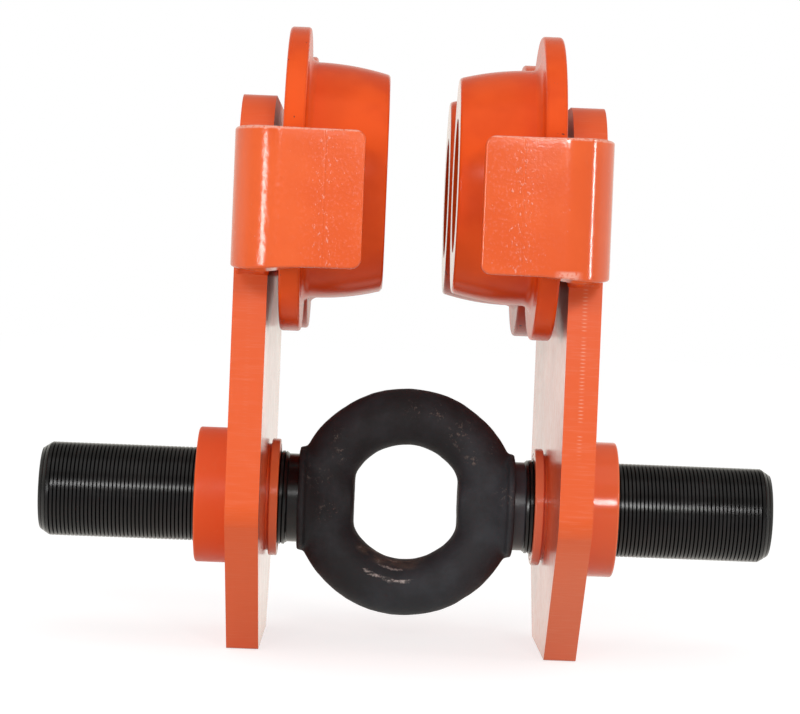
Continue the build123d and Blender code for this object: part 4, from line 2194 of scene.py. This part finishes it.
class LampShape(Enum):
    """The outline of a soft box."""

    RECTANGLE = "square corners"
    ELLIPSE = "round"


@dataclass(frozen=True)
class SoftBox:
    """A soft box lamp."""

    name: str
    place: tuple[float, float, float]
    aim: tuple[float, float, float]
    width: float
    height: float
    power: float
    shape: LampShape = LampShape.RECTANGLE

    def build(self) -> None:
        """Hang the lamp and turn it to its aim."""
        lamp = bpy.data.lights.new(self.name, "AREA")
        lamp.shape = self.shape.name
        lamp.size, lamp.size_y = self.width, self.height
        lamp.energy = self.power
        hung = put_in(self.name, lamp)
        way = Vector(self.aim) - Vector(self.place)
        turn = way.to_track_quat("-Z", "Y").to_matrix().to_4x4()
        hung.matrix_world = Matrix.Translation(self.place) @ turn
        LOG.info("lamp %s", self.name)


@dataclass(frozen=True)
class Studio:
    """A pale floor, a white surround, soft lamps and the camera."""

    camera_place: tuple[float, float, float] = (-0.016342, -1.02298, 0.076997)
    lens: float = 119.37
    sensor: float = 36.0
    pan: float = 0.0117
    tilt: float = -0.0207
    roll: float = 0.0401
    floor_reach: float = 6.0
    back_glow: float = 0.66
    front_glow: float = 0.575
    mirror_tint: Colour = (1.0, 0.98, 0.90)
    dim_side: float = 0.36
    ceiling: float = 0.35
    floor_tone: float = 0.66
    floor_white: float = 2.38
    floor_share: float = 0.30
    mirror_white: float = 1.54
    mirror_share: float = 0.60
    floor_drop: float = 0.0002
    lamp_aim: tuple[float, float, float] = (0.0, -0.06, 0.08)
    past_object: tuple[float, float] = (-0.25, 0.10)
    behind: tuple[float, float] = (-0.35, 0.25)
    above: tuple[float, float] = (0.25, 0.60)
    glow_turn: tuple[float, float] = (-0.6, 0.3)

    def build(self) -> None:
        """Set up the floor, the light and the camera."""
        bpy.context.scene.view_settings.view_transform = "Standard"
        self.build_floor()
        self.build_surround()
        for lamp in self.lamps():
            lamp.build()
        self.build_camera()

    def lamps(self) -> list[SoftBox]:
        """The lamps round the trolley.

        Returns:
            Soft boxes at the left and the right, three over the camera and one overhead.
        """
        aim = self.lamp_aim
        return [
            SoftBox("left_key", (-0.88, -0.98, 0.105), aim, 0.22, 0.27, 3.3, LampShape.ELLIPSE),
            SoftBox("right_strip", (1.20, -0.50, 0.26), aim, 0.06, 0.50, 3.0),
            SoftBox("upper_left", (-0.215, -1.00, 0.310), aim, 0.13, 0.08, 1.25),
            SoftBox("upper_right", (0.105, -1.00, 0.29), aim, 0.39, 0.06, 0.48),
            SoftBox("nut_light", (0.165, -1.00, 0.295), aim, 0.07, 0.13, 1.40),
            SoftBox("overhead", (0.0, -0.45, 0.95), aim, 1.00, 0.70, 1.0),
        ]

    def build_floor(self) -> None:
        """Lay the floor under the plates. It is white to the camera and clear from below."""
        shape = bmesh.new()
        place = Matrix.Translation((0, 0, CAD_BOX[0].z - self.floor_drop))
        bmesh.ops.create_grid(shape, x_segments=1, y_segments=1, size=self.floor_reach, matrix=place)
        floor = put_in("floor", meshed("floor", shape))
        material = bpy.data.materials.new("floor_white")
        material.use_nodes = True
        shader = Shader(material.node_tree)
        matt = shader.node("ShaderNodeBsdfDiffuse", sockets={"Color": (*[self.floor_tone] * 3, 1.0)})
        glossy = shader.ray("Is Glossy Ray")
        tint = shader.blend(glossy, (1.0, 1.0, 1.0), self.mirror_tint)
        strength = self.floor_white + (self.mirror_white - self.floor_white) * glossy
        glow = shader.node("ShaderNodeEmission", sockets={"Color": tint, "Strength": strength})
        share = self.floor_share + (self.mirror_share - self.floor_share) * glossy
        seen = self.seen(shader) * share
        mixed = shader.node(
            "ShaderNodeMixShader", sockets={0: seen, 1: matt.outputs[0], 2: glow.outputs[0]}
        )
        clear = shader.node("ShaderNodeBsdfTransparent")
        below = Value(shader, shader.node("ShaderNodeNewGeometry").outputs["Backfacing"])
        top = shader.node(
            "ShaderNodeMixShader", sockets={0: below, 1: mixed.outputs[0], 2: clear.outputs[0]}
        )
        shader.node("ShaderNodeOutputMaterial", sockets={"Surface": top.outputs[0]})
        floor.data.materials.append(material)

    def seen(self, shader: Shader) -> Value:
        """Tell the rays that show the floor as backdrop from those that light the object.

        Args:
            shader: The floor's shader.

        Returns:
            1 for what the camera sees, straight or in a gloss that looks past the object, else 0.
        """
        _, y, _ = shader.axes(shader.place())
        gloss = shader.ray("Is Glossy Ray") * y.band(*self.past_object)
        return (shader.ray("Is Camera Ray") + gloss + shader.ray("Is Transmission Ray")).band(0.0, 1.0)

    def build_surround(self) -> None:
        """Make the white surround, dimmer in gloss on the camera's side and overhead."""
        world = bpy.data.worlds.new("surround")
        bpy.context.scene.world = world
        world.use_nodes = True
        shader = Shader(world.node_tree)
        way = shader.node("ShaderNodeTexCoord").outputs["Generated"]
        _, y, z = shader.axes(way)
        behind = y.band(*self.behind)
        glossy = shader.ray("Is Glossy Ray")
        camera = shader.ray("Is Camera Ray")
        backdrop = 1.0 - (1.0 - self.ceiling) * z.band(*self.above)
        mirrored = self.dim_side * (1.0 - behind) + backdrop * behind
        glow = self.front_glow - (self.front_glow - self.back_glow) * y.band(*self.glow_turn)
        strength = camera + (1.0 - camera) * (glossy * mirrored + (1.0 - glossy) * glow)
        colour = shader.blend(glossy, (1.0, 1.0, 1.0), self.mirror_tint)
        made = shader.node("ShaderNodeBackground", sockets={"Color": colour, "Strength": strength})
        shader.node("ShaderNodeOutputWorld", sockets={"Surface": made.outputs[0]})

    def build_camera(self) -> None:
        """Set the camera at the photograph's viewpoint."""
        ahead = Vector(
            (
                math.sin(self.pan) * math.cos(self.tilt),
                math.cos(self.pan) * math.cos(self.tilt),
                math.sin(self.tilt),
            )
        )
        level = Vector((math.cos(self.pan), -math.sin(self.pan), 0.0))
        upright = level.cross(ahead)
        right = level * math.cos(self.roll) + upright * math.sin(self.roll)
        up = upright * math.cos(self.roll) - level * math.sin(self.roll)
        camera = bpy.data.cameras.new("camera")
        camera.lens = self.lens
        camera.sensor_width = self.sensor
        stand = put_in("camera", camera)
        turn = Matrix((right, up, -ahead)).transposed().to_4x4()
        stand.matrix_world = Matrix.Translation(self.camera_place) @ turn
        bpy.context.scene.camera = stand


def main() -> None:
    """Build the trolley piece by piece, then the studio."""
    logging.basicConfig(level=logging.INFO, format="%(name)s: %(message)s")
    Spindle().build()
    for side in Side:
        plate = SidePlate(side)
        plate.build()
        for end in End:
            Bumper(side, end).build()
            WheelSet(side, end, plate.paint).build()
    Studio().build()


if __name__ == "__main__":
    main()
